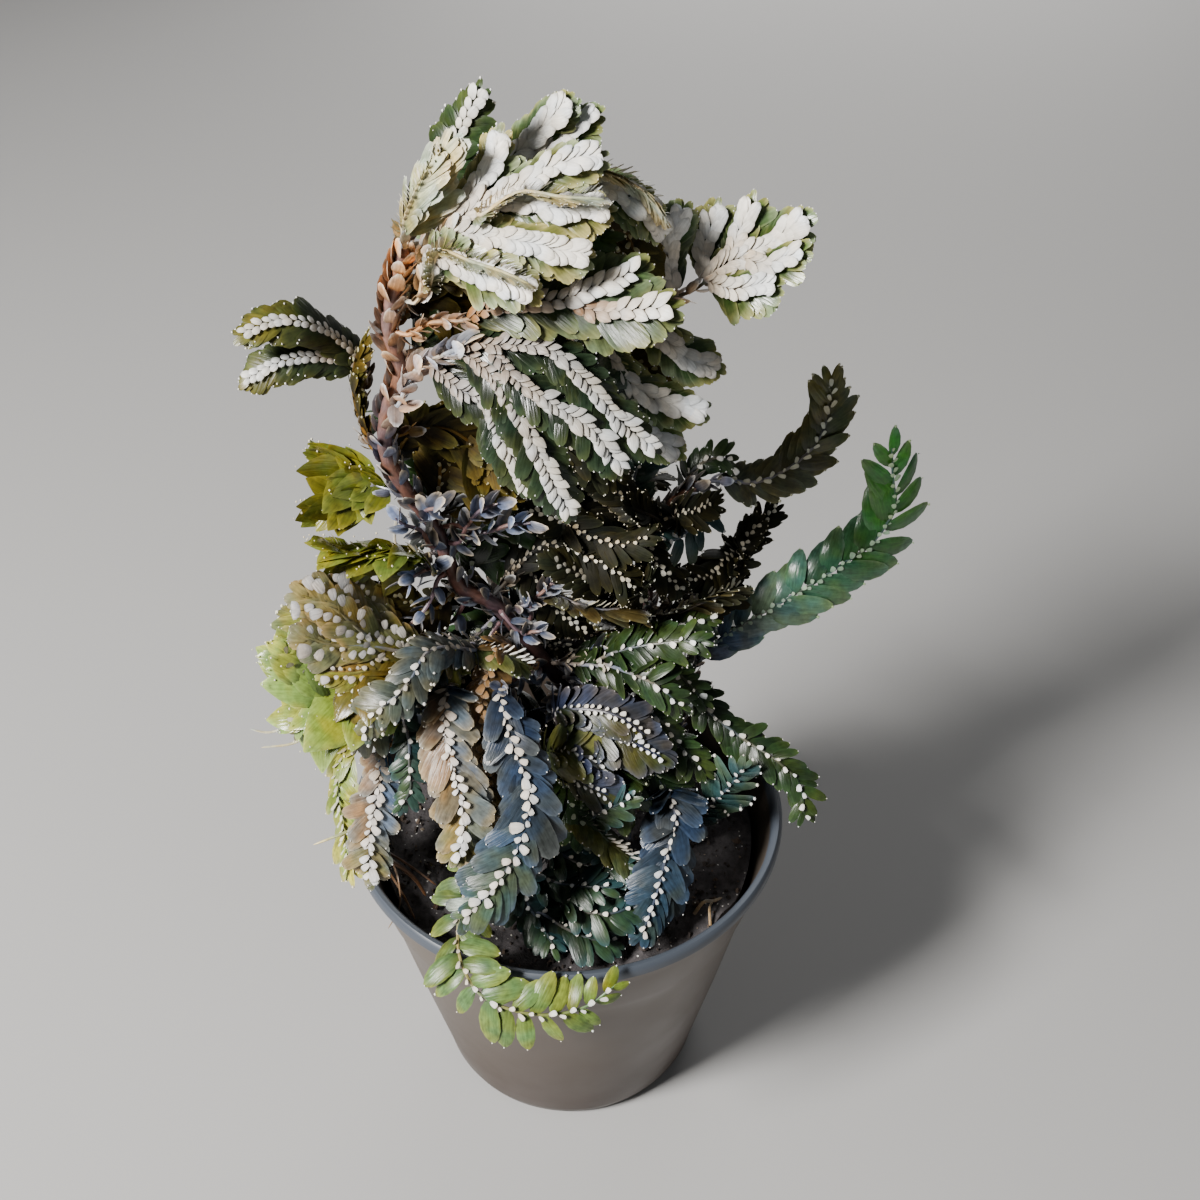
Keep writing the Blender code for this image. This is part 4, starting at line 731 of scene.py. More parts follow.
def add_leaves(stock, form, root, ahead, upper, length, breadth, colour, edge, margin=0.8):
    """Leaves with a root, a direction and an upper side each.

    A point is root + ahead*L*u + sideways*B/2*w(u)*v + upper*(L*(rise*u - fall*u^2) +
    B*w(u)*dome*(1 - v^2) + B*thick*w(u)*z), with (v, z) round the leaf's thin section. The edge
    colour takes over towards the margins, and beyond the given share of the length to the tip.
    """
    count = len(root)
    length = np.broadcast_to(length, count)[:, None, None, None]
    breadth = np.broadcast_to(breadth, count)[:, None, None, None]
    ahead = unit(ahead)
    upper = unit(upper - np.sum(upper * ahead, axis=1)[:, None] * ahead)
    sideways = np.cross(upper, ahead)
    u = np.array(form.stations)[None, :, None, None]
    w = np.array(form.breadths)[None, :, None, None]
    v = LEAF_SECTION[:, 0][None, None, :, None]
    z = LEAF_SECTION[:, 1][None, None, :, None]
    lift = length * (form.rise * u - form.fall * u ** 2)
    lift = lift + breadth * w * (form.dome * (1 - v ** 2) + form.thick * z)
    points = (root[:, None, None] + ahead[:, None, None] * length * u
              + sideways[:, None, None] * 0.5 * breadth * w * v + upper[:, None, None] * lift)
    # Painted shade: darker towards the leaf's root and on its underside.
    shade = ROOT_PAINTED_SHADE + (1 - ROOT_PAINTED_SHADE) * np.minimum(u / ROOT_SHADE_END, 1)
    tints = colour[:, None, None] * (shade * np.where(z < -0.5, UNDERSIDE_PAINTED_SHADE, 1.0))
    tip = np.clip((u - margin) / (1 - margin), 0, 1)
    share = np.clip(0.55 * np.abs(v) ** 5 * u + 0.75 * tip, 0, EDGE_COVER)
    tints = tints * (1 - share) + linear(edge) * share
    offset = random.uniform(0, 40, (count, 1, 1, 2))
    marks = np.concatenate(np.broadcast_arrays(0.5 * breadth * v * w, length * u), -1) + offset
    stock.add(points, tints, marks)


def around(sides):
    """Evenly spaced angles of a full turn."""
    return np.linspace(0, 2 * math.pi, sides, endpoint=False)


def turned(profile, sides):
    """A profile of (radius, height) points carried round Z, as one grid closed round the ring."""
    radius, height = np.array(profile, float).T[..., None]
    angles = around(sides)
    return np.stack([radius * np.cos(angles), radius * np.sin(angles), height + 0 * angles], -1)[None]


def add_beads(stock, place, radius, colour):
    """Small balls: the pale tip of each side leaf."""
    ball = turned(BEAD_PROFILE, LUMP_SIDES)
    stock.add(place[:, None, None] + ball * radius[:, None, None, None], colour, (0.0, 0.0))


def add_tube(stock, course, radii, colours, sides=7, step=1.2, knobs=0.0):
    """A round stem: a ring of points square to its course at even steps, tapered, with low knobs."""
    stops = np.linspace(0, course.total, max(3, round(course.total / step)))
    place, _, across, upper = course.frames(stops)
    angles = around(sides)[None, :, None]
    share = stops / course.total
    radius = np.interp(share, [0, 1], radii)[:, None, None]
    waves = np.sin(KNOB_WAVES * stops[:, None, None] + 2 * angles) * np.sin(3 * angles)
    radius = radius * (1 + knobs * waves)
    radius[-1] *= TUBE_END
    ring = np.cos(angles) * across[:, None] - np.sin(angles) * upper[:, None]
    points = place[:, None] + radius * ring
    tints = ramp(colours, share)[:, None] * (1 + 0.1 * np.sin(7 * angles))
    marks = np.concatenate(np.broadcast_arrays(radius * angles, stops[:, None, None]), -1)
    stock.add(points[None], tints[None], marks[None])


def varied(colours, spread):
    """Colours made a little lighter or darker, and a little warmer or cooler, leaf by leaf."""
    light = random.normal(1, spread, (len(colours), 1))
    warm = random.normal(0, 0.35 * spread, (len(colours), 1)) * np.array([1, 0.2, -1])
    return np.clip(colours * (light + warm), 0.002, 1)


def add_stem_leaves(stock, course, start, end, gaps, radii, length, codes, spreads):
    """Small oval leaves set round a stem by the golden angle, most of them at its sides.

    gaps, radii and spreads give the distance between leaves, the stem's radius and how far the
    leaves stand off it, each at the start and at the end.
    """
    count = max(2, round(2 * (end - start) / sum(gaps)))
    share = (np.arange(count) + 0.5) / count
    gone = (2 * gaps[0] * share + (gaps[1] - gaps[0]) * share ** 2) / sum(gaps)
    stops = start + (end - start) * gone
    place, along, across, upper = course.frames(stops)
    angle = (np.arange(count) * GOLDEN_ANGLE + random.normal(0, 0.2, count))[:, None]
    angle = angle - 0.36 * np.sin(2 * angle)
    outward = np.cos(angle) * across + np.sin(angle) * upper
    radius = np.interp(share, [0, 1], radii)[:, None]
    spread = (np.interp(share, [0, 1], spreads) + random.normal(0, 0.15, count))[:, None]
    length = random.normal(length, 0.1 * length, count)
    add_leaves(stock, STEM_LEAF, place + 0.85 * radius * outward, along + spread * outward,
               outward - 0.1 * along, length, 0.7 * length, varied(ramp(codes, share), 0.1),
               STEM_LEAF_EDGE)


def spray_courses(stems, sprays):
    """The course of every rib of every spray."""
    courses = {}
    for name, spray in sprays.items():
        axis = spray.ribs[0]
        if spray.grows == "soil":
            start = rise_from_soil(*axis[0])
            axis = axis[1:]
        else:
            parent, radii = stems[spray.grows]
            start = seat_on(parent, np.interp(spray.at, [0, 1], radii), spray.at, axis[0])
        ribs = [Course(start + axis, spray.face)]
        stems[name] = (ribs[0], (RIB_RADIUS, RIB_RADIUS))
        for at, *points in spray.ribs[1:]:
            fork, _, _, upper = ribs[0].frames(np.array([at * ribs[0].total]))
            ribs.append(Course([fork[0]] + points, spray.face, upper[0]))
        courses[name] = ribs
    return courses


def seat_on(parent, parent_radius, at, towards):
    """The first two points of a side branch: just off its parent's side, and square out from it.

    A branch at the parent's very end goes straight on towards its next point.
    """
    place, along, _, _ = parent.frames(np.array([at * parent.total]))
    out = np.asarray(towards, float) - place[0]
    reach = SEAT_GAP
    if at < 1.0:
        out = out - (out @ along[0]) * along[0]
        reach += parent_radius
    return [place[0] + unit(out) * reach, place[0] + unit(out) * (reach + SEAT_RUN)]


def rise_from_soil(x, y):
    """The two points of a stem that stands in its soil hole."""
    return [(x, y, SOIL_LEVEL - ROOT_DEPTH), (x, y, SOIL_LEVEL + ROOT_RISE)]


def add_side_leaves(stock, white, course, look, leaf, bare):
    """Two ranks of side leaves, shingled: each leaf's forward edge lies over the next leaf's root.

    Leaves are longest in the middle of the rib. The last ones turn forwards and are shorter, so
    that the ranks close in a blunt round end.
    """
    pitch = look["pitch"] * leaf
    for side in (-1, 1):
        first = bare + (0.5 * pitch if side > 0 else 0.0)
        stops = np.arange(first, course.total - 0.05 * leaf, pitch)
        count = len(stops)
        if count == 0:
            continue
        stops = stops + random.normal(0, 0.06 * pitch, count)
        share = np.clip((stops - bare) / (course.total - bare), 0, 1)
        close = np.clip(1 - (course.total - stops) / (1.5 * leaf), 0, 1) ** 1.3
        place, along, across, upper = course.frames(stops)
        lean = look["lean"] + (TIP_LEAN - look["lean"]) * close
        lean = np.radians(lean + random.normal(0, look["ragged"], count))[:, None]
        middle = 0.62 + 0.38 * np.sin(math.pi * (0.16 + 0.68 * share))
        length = leaf / math.cos(math.radians(look["lean"])) * middle
        length = length * random.normal(1, 0.012 * look["ragged"], count) * (1 - 0.45 * close)
        droop = LEAF_DROOP + random.normal(0, 0.012 * look["ragged"], (count, 1))
        ahead = unit(side * np.cos(lean) * across + np.sin(lean) * along - droop * upper)
        tilt = np.radians(random.normal(look["tilt"], look["ragged"], (count, 1)))
        facing = upper - np.tan(tilt) * along
        codes = look["leaves"] if side < 0 else look["other_side"] or look["leaves"]
        colour = varied(ramp(codes, share), 0.17)
        root = place + 0.2 * side * across - 0.1 * upper
        add_leaves(stock, look["form"], root, ahead, facing, length, look["broad"] * length, colour,
                   look["edge"], look["margin"])
        tips = root + ahead * length[:, None] - 0.05 * upper * length[:, None]
        radius = look["bead"] * random.uniform(0.5, 1.25, count)
        add_beads(white, tips, radius, linear(look["scales"][2]))


def add_scale_leaves(white, course, look, start, bare, leaf):
    """Two ranks of small scale leaves along the rib's top, taking turns and lying forwards."""
    length, breadth = look["scale"]
    most, late = look["swell"]
    stops = np.arange(start, course.total - 0.2, look["every"])
    count = len(stops)
    stops = stops + random.normal(0, 0.08 * look["every"], count)
    share = np.clip((stops - bare) / max(course.total - bare, 1), 0, 1)
    side = np.where(np.arange(count) % 2, 1.0, -1.0)[:, None]
    place, along, across, upper = course.frames(np.minimum(stops, course.total))
    size = (1 + most * share ** late) * random.normal(1, look["uneven"], count)
    turn = np.radians(random.normal(look["turn"], 60 * look["uneven"], count))[:, None]
    ahead = np.cos(turn) * along + side * np.sin(turn) * across + look["stand"] * upper
    facing = upper + 0.25 * side * across
    root = place + upper * (RIB_RADIUS + SCALE_GAP)
    root = root + side * across * (look["apart"] * breadth * size)[:, None]
    reach = np.minimum(length * size, course.total + 0.35 * leaf - stops)
    colour = varied(ramp(look["scales"], share), 0.05)
    # The scale leaves' grey margins and tips are painted shade where they overlap.
    add_leaves(white, look["flake"], root, ahead, facing, reach, breadth * size, colour,
               SCALE_LEAF_SHADED_EDGE, margin=0.9)


def make_spray(name, spray, courses, skins):
    """A spray's ribs and side leaves as one piece, its white scale leaves and pale tips as another."""
    look = {**PLAIN, **LOOKS[spray.look]}
    leaf = look["reach"] * spray.leaf
    green, white = Stock(), Stock()
    for k, course in enumerate(courses):
        bare = 1.0 if k else spray.bare
        add_tube(green, course, (RIB_RADIUS, RIB_TIP_RADIUS), (look["stalk"][-1], look["leaves"][1]))
        add_side_leaves(green, white, course, look, leaf, bare)
        add_scale_leaves(white, course, look, max(bare - 1.0, 0.5), bare, leaf)
    foot = ROOT_DEPTH + 1.5 if spray.grows == "soil" else 0.8
    if spray.bare > foot + 2:
        add_stem_leaves(green, courses[0], foot, spray.bare, gaps=(1.0, 0.75),
                        radii=(RIB_RADIUS, RIB_RADIUS), length=look["stalk_leaf"],
                        codes=look["stalk"], spreads=(0.5, 0.4))
    solids = [solid for solid in (name, name + "_scales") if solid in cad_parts]
    green.make(name + "_leaves", skins[look["skin"]], look["slot"], *solids[:1])
    white.make(name + "_white", skins["papery"], "white_scales", *solids[1:])


def make_stem(name, course, radii, codes, first, shoots, material):
    """A stem with its short leafy shoots, and its own small leaves from the distance first on."""
    stock = Stock()
    add_tube(stock, course, radii, BARK, sides=14, step=0.8, knobs=0.06)
    add_stem_leaves(stock, course, first, course.total - 1, gaps=(1.35, 0.32), radii=radii,
                    length=3.5, codes=codes, spreads=(0.5, 0.35))
    for at, *points in shoots:
        shoot = Course(seat_on(course, np.interp(at, [0, 1], radii), at, points[0]) + points)
        add_tube(stock, shoot, SHOOT_RADII, SHOOT_BARK)
        add_stem_leaves(stock, shoot, 1.5, shoot.total, gaps=(1.2, 0.8), radii=SHOOT_RADII,
                        length=3.6, codes=SHOOT_LEAVES, spreads=(1.0, 0.6))
    stock.make(name + "_leafy", material, "stem", name)


def node(tree, kind, inputs, **settings):
    """Adds a node, sets its settings and fills its inputs with values or other nodes' sockets."""
    made = tree.nodes.new(kind)
    for key, value in settings.items():
        setattr(made, key, value)
    for key, value in inputs.items():
        if isinstance(value, bpy.types.NodeSocket):
            tree.links.new(value, made.inputs[key])
        else:
            made.inputs[key].default_value = value
    return made


def surface(name, **inputs):
    """A new material and its Principled shader, with values on the shader's own sockets."""
    made = bpy.data.materials.new(name)
    made.use_nodes = True
    shader = made.node_tree.nodes["Principled BSDF"]
    for key, value in inputs.items():
        shader.inputs[key.replace("_", " ").title().replace("Ior", "IOR")].default_value = value
    return made, made.node_tree, shader


def leaf_cuticle(name, roughness, low, high, streak, depth, patchy=1.0, shine=0.4):
    """A leaf's skin: fine streaks from its root to its tip and soft mottling over its tint.

    low and high are the least and most of the tint that shows, streak is the width of the streaks
    in millimetres and depth their bump in metres. The streaks stand for rows of cells, which are
    finer on the real leaf. The mottling is about 1 mm wide. Patches about 5 mm wide are warmer and
    cooler by the share patchy of WARM_PATCH and COOL_PATCH. shine is the waxy reflection's level.
    """
    made, tree, shader = surface(name, roughness=roughness, specular_ior_level=shine)
    tint = node(tree, "ShaderNodeAttribute", {}, attribute_name="tint")
    grain = node(tree, "ShaderNodeUVMap", {}, uv_map="grain")
    place = node(tree, "ShaderNodeMapping", {"Vector": grain.outputs["UV"],
                                             "Scale": (1 / streak, 0.12 / streak, 1)})
    lines = node(tree, "ShaderNodeTexNoise", {"Vector": place.outputs["Vector"],
                                              "Scale": 1.0, "Detail": 2.0})
    spots = node(tree, "ShaderNodeTexCoord", {})
    mottle = node(tree, "ShaderNodeTexNoise", {"Vector": spots.outputs["Object"],
                                               "Scale": 900.0, "Detail": 3.0})
    both = node(tree, "ShaderNodeMath", {0: lines.outputs["Fac"], 1: mottle.outputs["Fac"]},
                operation="ADD")
    strength = node(tree, "ShaderNodeMapRange", {"Value": both.outputs[0], "From Min": 0.6,
                                                 "From Max": 1.4, "To Min": low, "To Max": high})
    colour = node(tree, "ShaderNodeVectorMath", {0: tint.outputs["Color"], 1: strength.outputs[0]},
                  operation="MULTIPLY")
    patch = node(tree, "ShaderNodeTexNoise", {"Vector": spots.outputs["Object"],
                                              "Scale": 210.0, "Detail": 1.0})
    steep = node(tree, "ShaderNodeMapRange", {"Value": patch.outputs["Fac"], "From Min": 0.4,
                                              "From Max": 0.6, "To Min": 0.0, "To Max": 1.0})
    warm, cool = (1 + patchy * (np.array(change) - 1) for change in (WARM_PATCH, COOL_PATCH))
    hue = node(tree, "ShaderNodeMix", {"Factor": steep.outputs[0], "A": (*warm, 1), "B": (*cool, 1)},
               data_type="RGBA")
    colour = node(tree, "ShaderNodeVectorMath", {0: colour.outputs["Vector"],
                                                 1: hue.outputs["Result"]}, operation="MULTIPLY")
    bump = node(tree, "ShaderNodeBump", {"Height": lines.outputs["Fac"], "Strength": 0.5,
                                         "Distance": depth})
    tree.links.new(colour.outputs["Vector"], shader.inputs["Base Color"])
    tree.links.new(bump.outputs["Normal"], shader.inputs["Normal"])
    return made


def potting_soil():
    """Moist peat soil: matt and nearly black, with coarse clods.

    Of the cells about 1 mm wide, 18 in a hundred hold a pale grain.
    """
    made, tree, shader = surface("peat_soil", roughness=0.9)
    tint = node(tree, "ShaderNodeAttribute", {}, attribute_name="tint")
    spots = node(tree, "ShaderNodeTexCoord", {})
    clods = node(tree, "ShaderNodeTexNoise", {"Vector": spots.outputs["Object"], "Scale": 650.0,
                                              "Detail": 6.0, "Roughness": 0.7})
    strength = node(tree, "ShaderNodeMapRange", {"Value": clods.outputs["Fac"], "From Min": 0.3,
                                                 "From Max": 0.72, "To Min": 0.45, "To Max": 1.6})
    colour = node(tree, "ShaderNodeVectorMath", {0: tint.outputs["Color"], 1: strength.outputs[0]},
                  operation="MULTIPLY")
    grains = node(tree, "ShaderNodeTexVoronoi", {"Vector": spots.outputs["Object"], "Scale": 900.0})
    grain = node(tree, "ShaderNodeMapRange", {"Value": grains.outputs["Distance"], "From Min": 0.12,
                                              "From Max": 0.2, "To Min": 1.0, "To Max": 0.0})
    chance = node(tree, "ShaderNodeSeparateColor", {"Color": grains.outputs["Color"]})
    few = node(tree, "ShaderNodeMath", {0: chance.outputs[0], 1: 0.82}, operation="GREATER_THAN")
    shown = node(tree, "ShaderNodeMath", {0: grain.outputs[0], 1: few.outputs[0]}, operation="MULTIPLY")
    pale = node(tree, "ShaderNodeMix", {"Factor": shown.outputs[0], "A": colour.outputs["Vector"],
                                        "B": (0.7, 0.68, 0.63, 1)}, data_type="RGBA")
    bump = node(tree, "ShaderNodeBump", {"Height": clods.outputs["Fac"], "Strength": 0.8,
                                         "Distance": 0.0006})
    tree.links.new(pale.outputs["Result"], shader.inputs["Base Color"])
    tree.links.new(bump.outputs["Normal"], shader.inputs["Normal"])
    return made


def pot_plastic():
    """Thin injection-moulded polypropylene: a soft satin taupe, a little dusty, slate at the lip."""
    made, tree, shader = surface("moulded_polypropylene", roughness=0.42)
    spots = node(tree, "ShaderNodeTexCoord", {})
    height = node(tree, "ShaderNodeSeparateXYZ", {"Vector": spots.outputs["Object"]})
    dust = node(tree, "ShaderNodeTexNoise", {"Vector": spots.outputs["Object"], "Scale": 60.0,
                                             "Detail": 5.0})
    lip = node(tree, "ShaderNodeMapRange", {"Value": height.outputs["Z"], "From Min": 0.0685,
                                            "From Max": 0.0698, "To Min": 0.0, "To Max": 1.0})
    # Painted shade: the wall turns dark brown towards its foot; the dust noise on top is real dust.
    low = node(tree, "ShaderNodeMapRange", {"Value": height.outputs["Z"], "From Min": 0.0,
                                            "From Max": 0.05, "To Min": 0.0, "To Max": 0.9})
    dust_and_painted_shade = node(tree, "ShaderNodeMath", {0: low.outputs[0], 1: dust.outputs["Fac"], 2: 0.1},
                operation="MULTIPLY_ADD")
    wall = node(tree, "ShaderNodeMix", {"Factor": dust_and_painted_shade.outputs[0], "A": (*linear("35261D"), 1),
                                        "B": (*linear("6A6259"), 1)}, data_type="RGBA")
    colour = node(tree, "ShaderNodeMix", {"Factor": lip.outputs[0], "A": wall.outputs["Result"],
                                          "B": (*linear("464C55"), 1)}, data_type="RGBA")
    gloss = node(tree, "ShaderNodeMapRange", {"Value": dust.outputs["Fac"], "From Min": 0.35,
                                              "From Max": 0.7, "To Min": 0.34, "To Max": 0.5})
    tree.links.new(colour.outputs["Result"], shader.inputs["Base Color"])
    tree.links.new(gloss.outputs[0], shader.inputs["Roughness"])
    return made


# The pot's wall as (radius, height), from the rim of its foot, up its outside, over the lip and down
# its inside. Its drain holes stand in a ring on its base.
POT_PROFILE = [(24.4, 0), (25, 0.05), (27.2, 0.5), (28.6, 1.6), (29.4, 3.6), (30.0, 7), (34.7, 29),
               (38.9, 50), (39.6, 53), (40.1, 54.6), (40.7, 56.5), (42.2, 64), (43.1, 68.4),
               (43.5, 69.1), (44.6, 69.3), (45, 69.7), (45.05, 70.7), (44.8, 71.6), (44.3, 72),
               (43.6, 71.95), (43.0, 71.4), (42.4, 68), (40.2, 60), (38.75, 54), (33.5, 28),
               (28.3, 4.2), (27, 2.4), (24.8, 1.9)]
POT_SIDES = 144
POT_TINT = "6B5F56"
DRAINS = 5
DRAIN_RING = 18
DRAIN_PROFILE = [(3, -3), (3, 5)]
DRAIN_SIDES = 32


def make_pot(material):
    """The pot's wall and base, turned in one, with the drain holes cut through the base."""
    stock = Stock()
    stock.add(turned(POT_PROFILE, POT_SIDES), linear(POT_TINT), (0.0, 0.0))
    pot = stock.make("pot_shell", material, "pot_plastic", "pot")
    drains = Stock()
    for angle in around(DRAINS):
        centre = np.array([DRAIN_RING * math.cos(angle), DRAIN_RING * math.sin(angle), 0])
        drains.add(turned(DRAIN_PROFILE, DRAIN_SIDES) + centre, linear(POT_TINT), (0.0, 0.0))
    cutter = drains.make("drains", material, "pot_plastic")
    cut = pot.modifiers.new("drains", "BOOLEAN")
    cut.operation = "DIFFERENCE"
    cut.object = cutter
    graph = bpy.context.evaluated_depsgraph_get()
    pot.data = bpy.data.meshes.new_from_object(pot.evaluated_get(graph))
    pot.modifiers.clear()
    bpy.data.objects.remove(cutter)
    pot.data.shade_smooth()
    pot.data.set_sharp_from_angle(angle=SHARP_POT_EDGE)


# The soil: its profile along the pot's wall as (radius, height), the radii of the rings of its top,
# its sides, its tint, the waves of its clods, and how far these sink under its level.
SOIL_WALL = [(24, 2.3), (27.6, 4.2), (38.1, 54), (39.0, 61.5)]
SOIL_RINGS = np.linspace(39.1, 0.4, 68)
SOIL_SIDES = 156
SOIL_TINT = "413D3E"
CLOD_WAVES = 8
CLODS_SINK = 0.2

# The crumbs on the soil and how far out they lie. Each draws its kind from 0 to 1: a colour holds
# from the share given with it, and from SMALL_KIND on the crumbs are small pale grains.
CRUMBS = 1050
CRUMB_REACH = 38.6
SMALL_KIND = 0.84
CRUMB_KINDS = [(0.0, "3A322E"), (0.62, "55473C"), (SMALL_KIND, "8E8070"), (0.94, "DDD8CE")]


def relief(x, y):
    """The height of the clods over the soil's level: crossing waves, each finer and lower.

    Wave k is 0.75 / 1.35^k * sin(f*p + 1.7*k) * cos(f*q + 0.6*k), with f = 0.22 * 1.5^k, and with
    p and q the place turned by 2.4*k.
    """
    height = 0.0
    for k in range(CLOD_WAVES):
        turn, fine = 2.4 * k, 0.22 * 1.5 ** k
        p = x * math.cos(turn) + y * math.sin(turn)
        q = y * math.cos(turn) - x * math.sin(turn)
        height = height + 0.75 / 1.35 ** k * np.sin(fine * p + 1.7 * k) * np.cos(fine * q + 0.6 * k)
    return height - CLODS_SINK


def make_soil(material):
    """Soil with a cloddy top, and crumbs and pale grains lying on it."""
    grid = turned(SOIL_WALL + [(radius, SOIL_LEVEL) for radius in SOIL_RINGS], SOIL_SIDES)
    lying = grid[..., 2] > SOIL_LEVEL - 1
    grid[..., 2] += np.where(lying, relief(grid[..., 0], grid[..., 1]), 0)
    stock = Stock()
    stock.add(grid, linear(SOIL_TINT), (0.0, 0.0))
    far = CRUMB_REACH * np.sqrt(random.uniform(0, 1, CRUMBS))
    angle = random.uniform(0, 2 * math.pi, CRUMBS)
    x, y = far * np.cos(angle), far * np.sin(angle)
    size = 0.25 + 0.65 * random.uniform(0, 1, CRUMBS) ** 3
    place = np.stack([x, y, SOIL_LEVEL + relief(x, y) + 0.25 * size], -1)
    kind = random.uniform(0, 1, CRUMBS)
    shares = [share for share, _ in CRUMB_KINDS]
    colours = np.array([linear(code) for _, code in CRUMB_KINDS])
    colour = colours[np.searchsorted(shares, kind, side="right") - 1]
    size = np.where(kind > SMALL_KIND, 0.55 * size, size)
    rough = (turned(CRUMB_PROFILE, LUMP_SIDES)
             * random.uniform(0.65, 1.3, (CRUMBS, len(CRUMB_PROFILE), LUMP_SIDES, 1))
             * random.uniform(0.7, 1.3, (CRUMBS, 1, 1, 3)))
    crumbs = place[:, None, None] + rough * size[:, None, None, None]
    stock.add(crumbs, colour[:, None, None], (0.0, 0.0))
    stock.make("soil_top", material, "soil", "soil")


# Loose litter: the colours, the root and tip radius, and the points of each dry root, stalk or
# thread.
LITTER = [
    (("4A3428", "7A5A44"), (0.7, 0.3),
     [(-42, -12, 70), (-39, -14, 73), (-35, -16, 72), (-31, -17, 68), (-29, -18, 64)]),
    (("4A3428", "8A6A50"), (0.45, 0.2),
     [(-43, -9, 72), (-40, -12, 74), (-37, -16, 72), (-33, -20, 66), (-31, -23, 63)]),
    (("5A4030", "7A5A44"), (0.35, 0.15),
     [(-40, -10, 71), (-36, -12, 70), (-31, -13, 66), (-27, -15, 63.5)]),
    (("6A5040", "A08468"), (0.3, 0.12),
     [(-36, -14, 72), (-34, -19, 71), (-34, -23, 66), (-36, -26, 64)]),
    (("8A7A66", "B8A890"), (0.4, 0.25),
     [(25, -24, 63.5), (27, -23, 66), (29, -22, 65), (31, -20, 63.5)]),
    (("8A7A66", "B0A088"), (0.3, 0.2), [(28, -27, 63.5), (28, -24, 65), (29, -21, 63.6)]),
    (("2E221C", "4A382C"), (0.6, 0.35),
     [(-27, -21, 63.5), (-25, -18, 66.5), (-22, -15, 65), (-20, -12, 63.5)]),
    (("B8A890", "D8CCB8"), (0.35, 0.18), [(-30, 5, 141), (-30.5, 4, 138), (-30, 3, 134)]),
    (("B8B890", "E0DCC4"), (0.4, 0.15),
     [(-47, -6, 104), (-52, -8, 103), (-57, -9, 102), (-60, -9, 103)]),
    (("B8B890", "D8D4B8"), (0.35, 0.15), [(-47, -8, 102), (-52, -10, 100), (-58, -11, 100)]),
    (("9A9A60", "D8D4A8"), (0.45, 0.15), [(-42, -14, 80), (-46, -16, 80), (-50, -17, 79)]),
]


def make_litter(material):
    """Dry roots on the rim, stalks on the soil and pale root threads, as thin bent tubes."""
    stock = Stock()
    for codes, radii, points in LITTER:
        add_tube(stock, Course(points), radii, codes, sides=6, step=0.7, knobs=0.25)
    stock.make("litter", material, "stem")


# The camera: its lens and sensor in millimetres, its place in metres, and how many degrees it looks
# down and to the right.
LENS = 42.46
SENSOR = 36.0
CAMERA_PLACE = (0.0, -0.2068, 0.2894)
LOOKS_DOWN = 38.40
LOOKS_RIGHT = 1.91

# The middle of the plant, which the lamps face, and half the width of the floor, in metres.
PLANT_MIDDLE = np.array([0.0, 0.0, 0.11])
FLOOR_REACH = 3


def lamp(name, place, power, size, colour):
    """An area light that faces the plant's middle."""
    light = bpy.data.lights.new(name, "AREA")
    light.energy, light.size, light.color = power, size, colour
    made = bpy.data.objects.new(name, light)
    made.location = place
    aim = PLANT_MIDDLE - np.array(place)
    tip = math.acos(-aim[2] / np.linalg.norm(aim))
    made.rotation_euler = (tip, 0, math.atan2(aim[0], -aim[1]) + math.pi)
    bpy.context.scene.collection.objects.link(made)


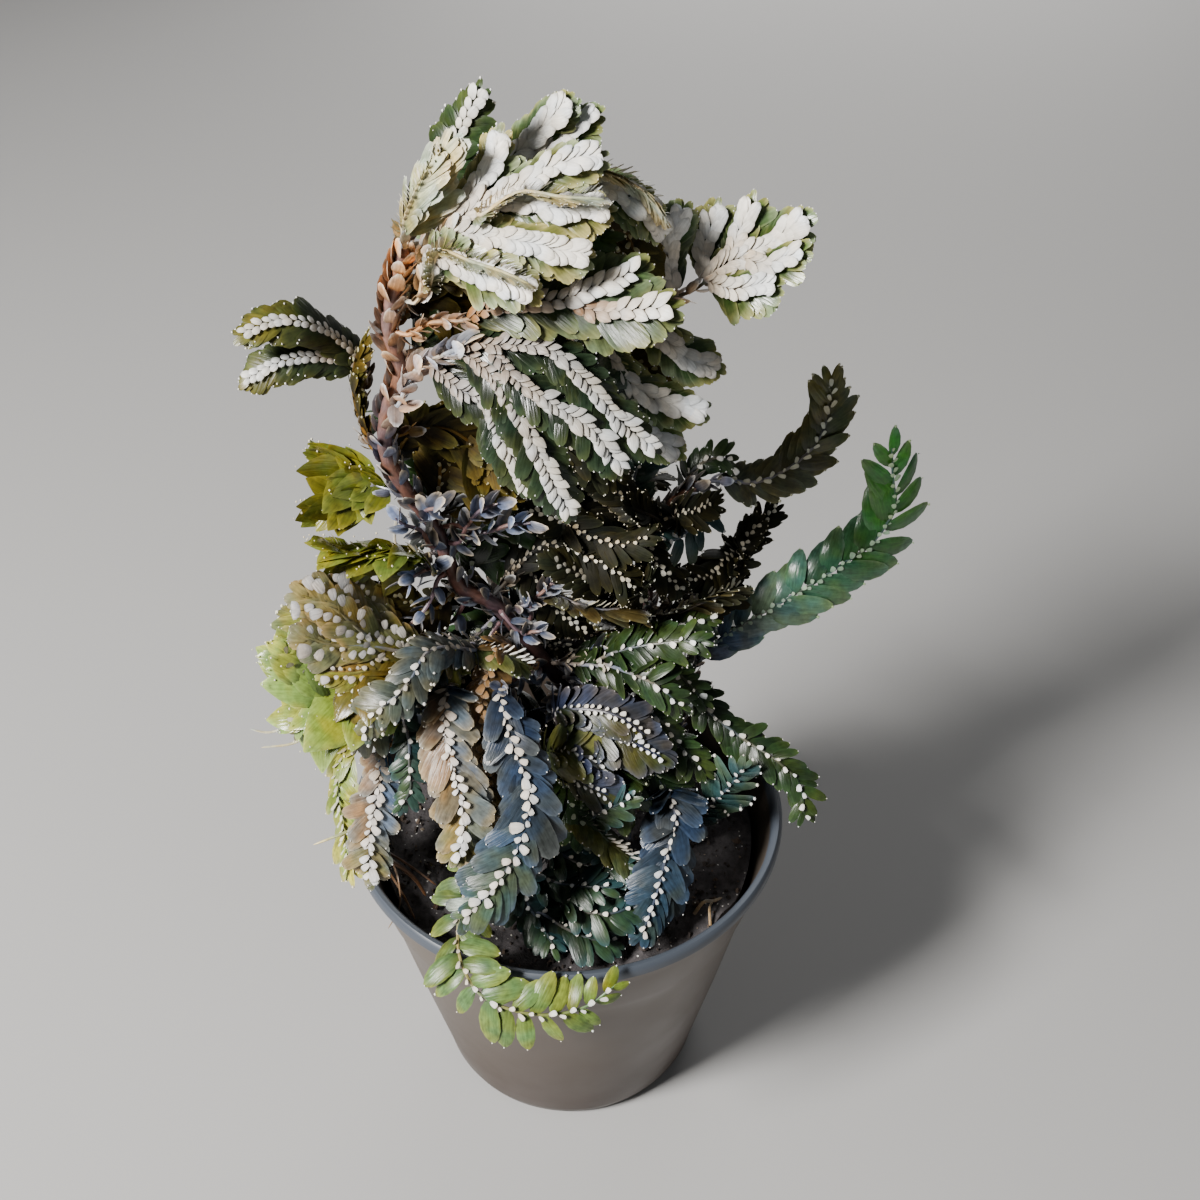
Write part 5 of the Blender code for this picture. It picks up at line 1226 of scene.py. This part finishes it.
def make_studio():
    """A pale floor, the lamps and the camera.

    Soft light comes from the upper left, and weaker light from the right, from behind and from the
    room.
    """
    scene = bpy.context.scene
    mesh = bpy.data.meshes.new("floor")
    corners = [(-1, -1), (1, -1), (1, 1), (-1, 1)]
    mesh.from_pydata([(FLOOR_REACH * x, FLOOR_REACH * y, 0) for x, y in corners], [], [(0, 1, 2, 3)])
    floor = bpy.data.objects.new("floor", mesh)
    paint, _, _ = surface("pale_floor", base_color=(0.42, 0.415, 0.41, 1), roughness=0.8)
    mesh.materials.append(paint)
    scene.collection.objects.link(floor)
    lamp("key", (-0.61, -0.42, 0.69), power=24.5, size=0.24, colour=(1.0, 0.98, 0.95))
    lamp("fill", (0.7, -0.5, 0.45), power=0.55, size=0.6, colour=(0.93, 0.96, 1.0))
    lamp("back", (0.2, 0.95, 0.4), power=4.0, size=0.7, colour=(1.0, 0.99, 0.97))
    world = bpy.data.worlds.new("room")
    world.use_nodes = True
    background = world.node_tree.nodes["Background"]
    background.inputs["Color"].default_value = (0.8, 0.82, 0.85, 1)
    background.inputs["Strength"].default_value = 0.1
    scene.world = world
    lens = bpy.data.cameras.new("camera")
    lens.lens = LENS
    lens.sensor_width = SENSOR
    camera = bpy.data.objects.new("camera", lens)
    camera.location = CAMERA_PLACE
    camera.rotation_euler = (math.radians(90 - LOOKS_DOWN), 0, math.radians(-LOOKS_RIGHT))
    scene.collection.objects.link(camera)
    scene.camera = camera


def build():
    """Makes every piece of the plant, its soil and its pot, then the floor, lamps and camera."""
    skins = {
        "satin": leaf_cuticle("satin_leaf_skin", roughness=0.36, low=0.5, high=1.5, streak=0.4,
                              depth=0.00018),
        "gloss": leaf_cuticle("glossy_leaf_skin", roughness=0.24, low=0.58, high=1.42, streak=0.4,
                              depth=0.00014),
        "matt": leaf_cuticle("shaded_leaf_skin", roughness=0.6, low=0.5, high=1.5, streak=0.35,
                             depth=0.00014, shine=0.12),
        "papery": leaf_cuticle("papery_scale_leaf", roughness=0.45, low=0.76, high=1.14,
                               streak=0.3, depth=0.00022, patchy=0.3),
    }
    main = Course(rise_from_soil(*MAIN_STEM[0]) + MAIN_STEM[1:])
    back = Course(rise_from_soil(*BACK_STEM[0]) + BACK_STEM[1:])
    stems = {"main_stem": (main, MAIN_STEM_RADII), "back_stem": (back, BACK_STEM_RADII)}
    make_stem("main_stem", main, MAIN_STEM_RADII, MAIN_LEAVES, first=24.0, shoots=SHOOTS,
              material=skins["satin"])
    make_stem("back_stem", back, BACK_STEM_RADII, BACK_LEAVES, first=16.0, shoots=[],
              material=skins["satin"])
    sprays = {**SPRAYS, **SMALL_SPRAYS}
    courses = spray_courses(stems, sprays)
    for name, spray in sprays.items():
        make_spray(name, spray, courses[name], skins)
    make_litter(skins["satin"])
    make_soil(potting_soil())
    make_pot(pot_plastic())
    make_studio()


build()
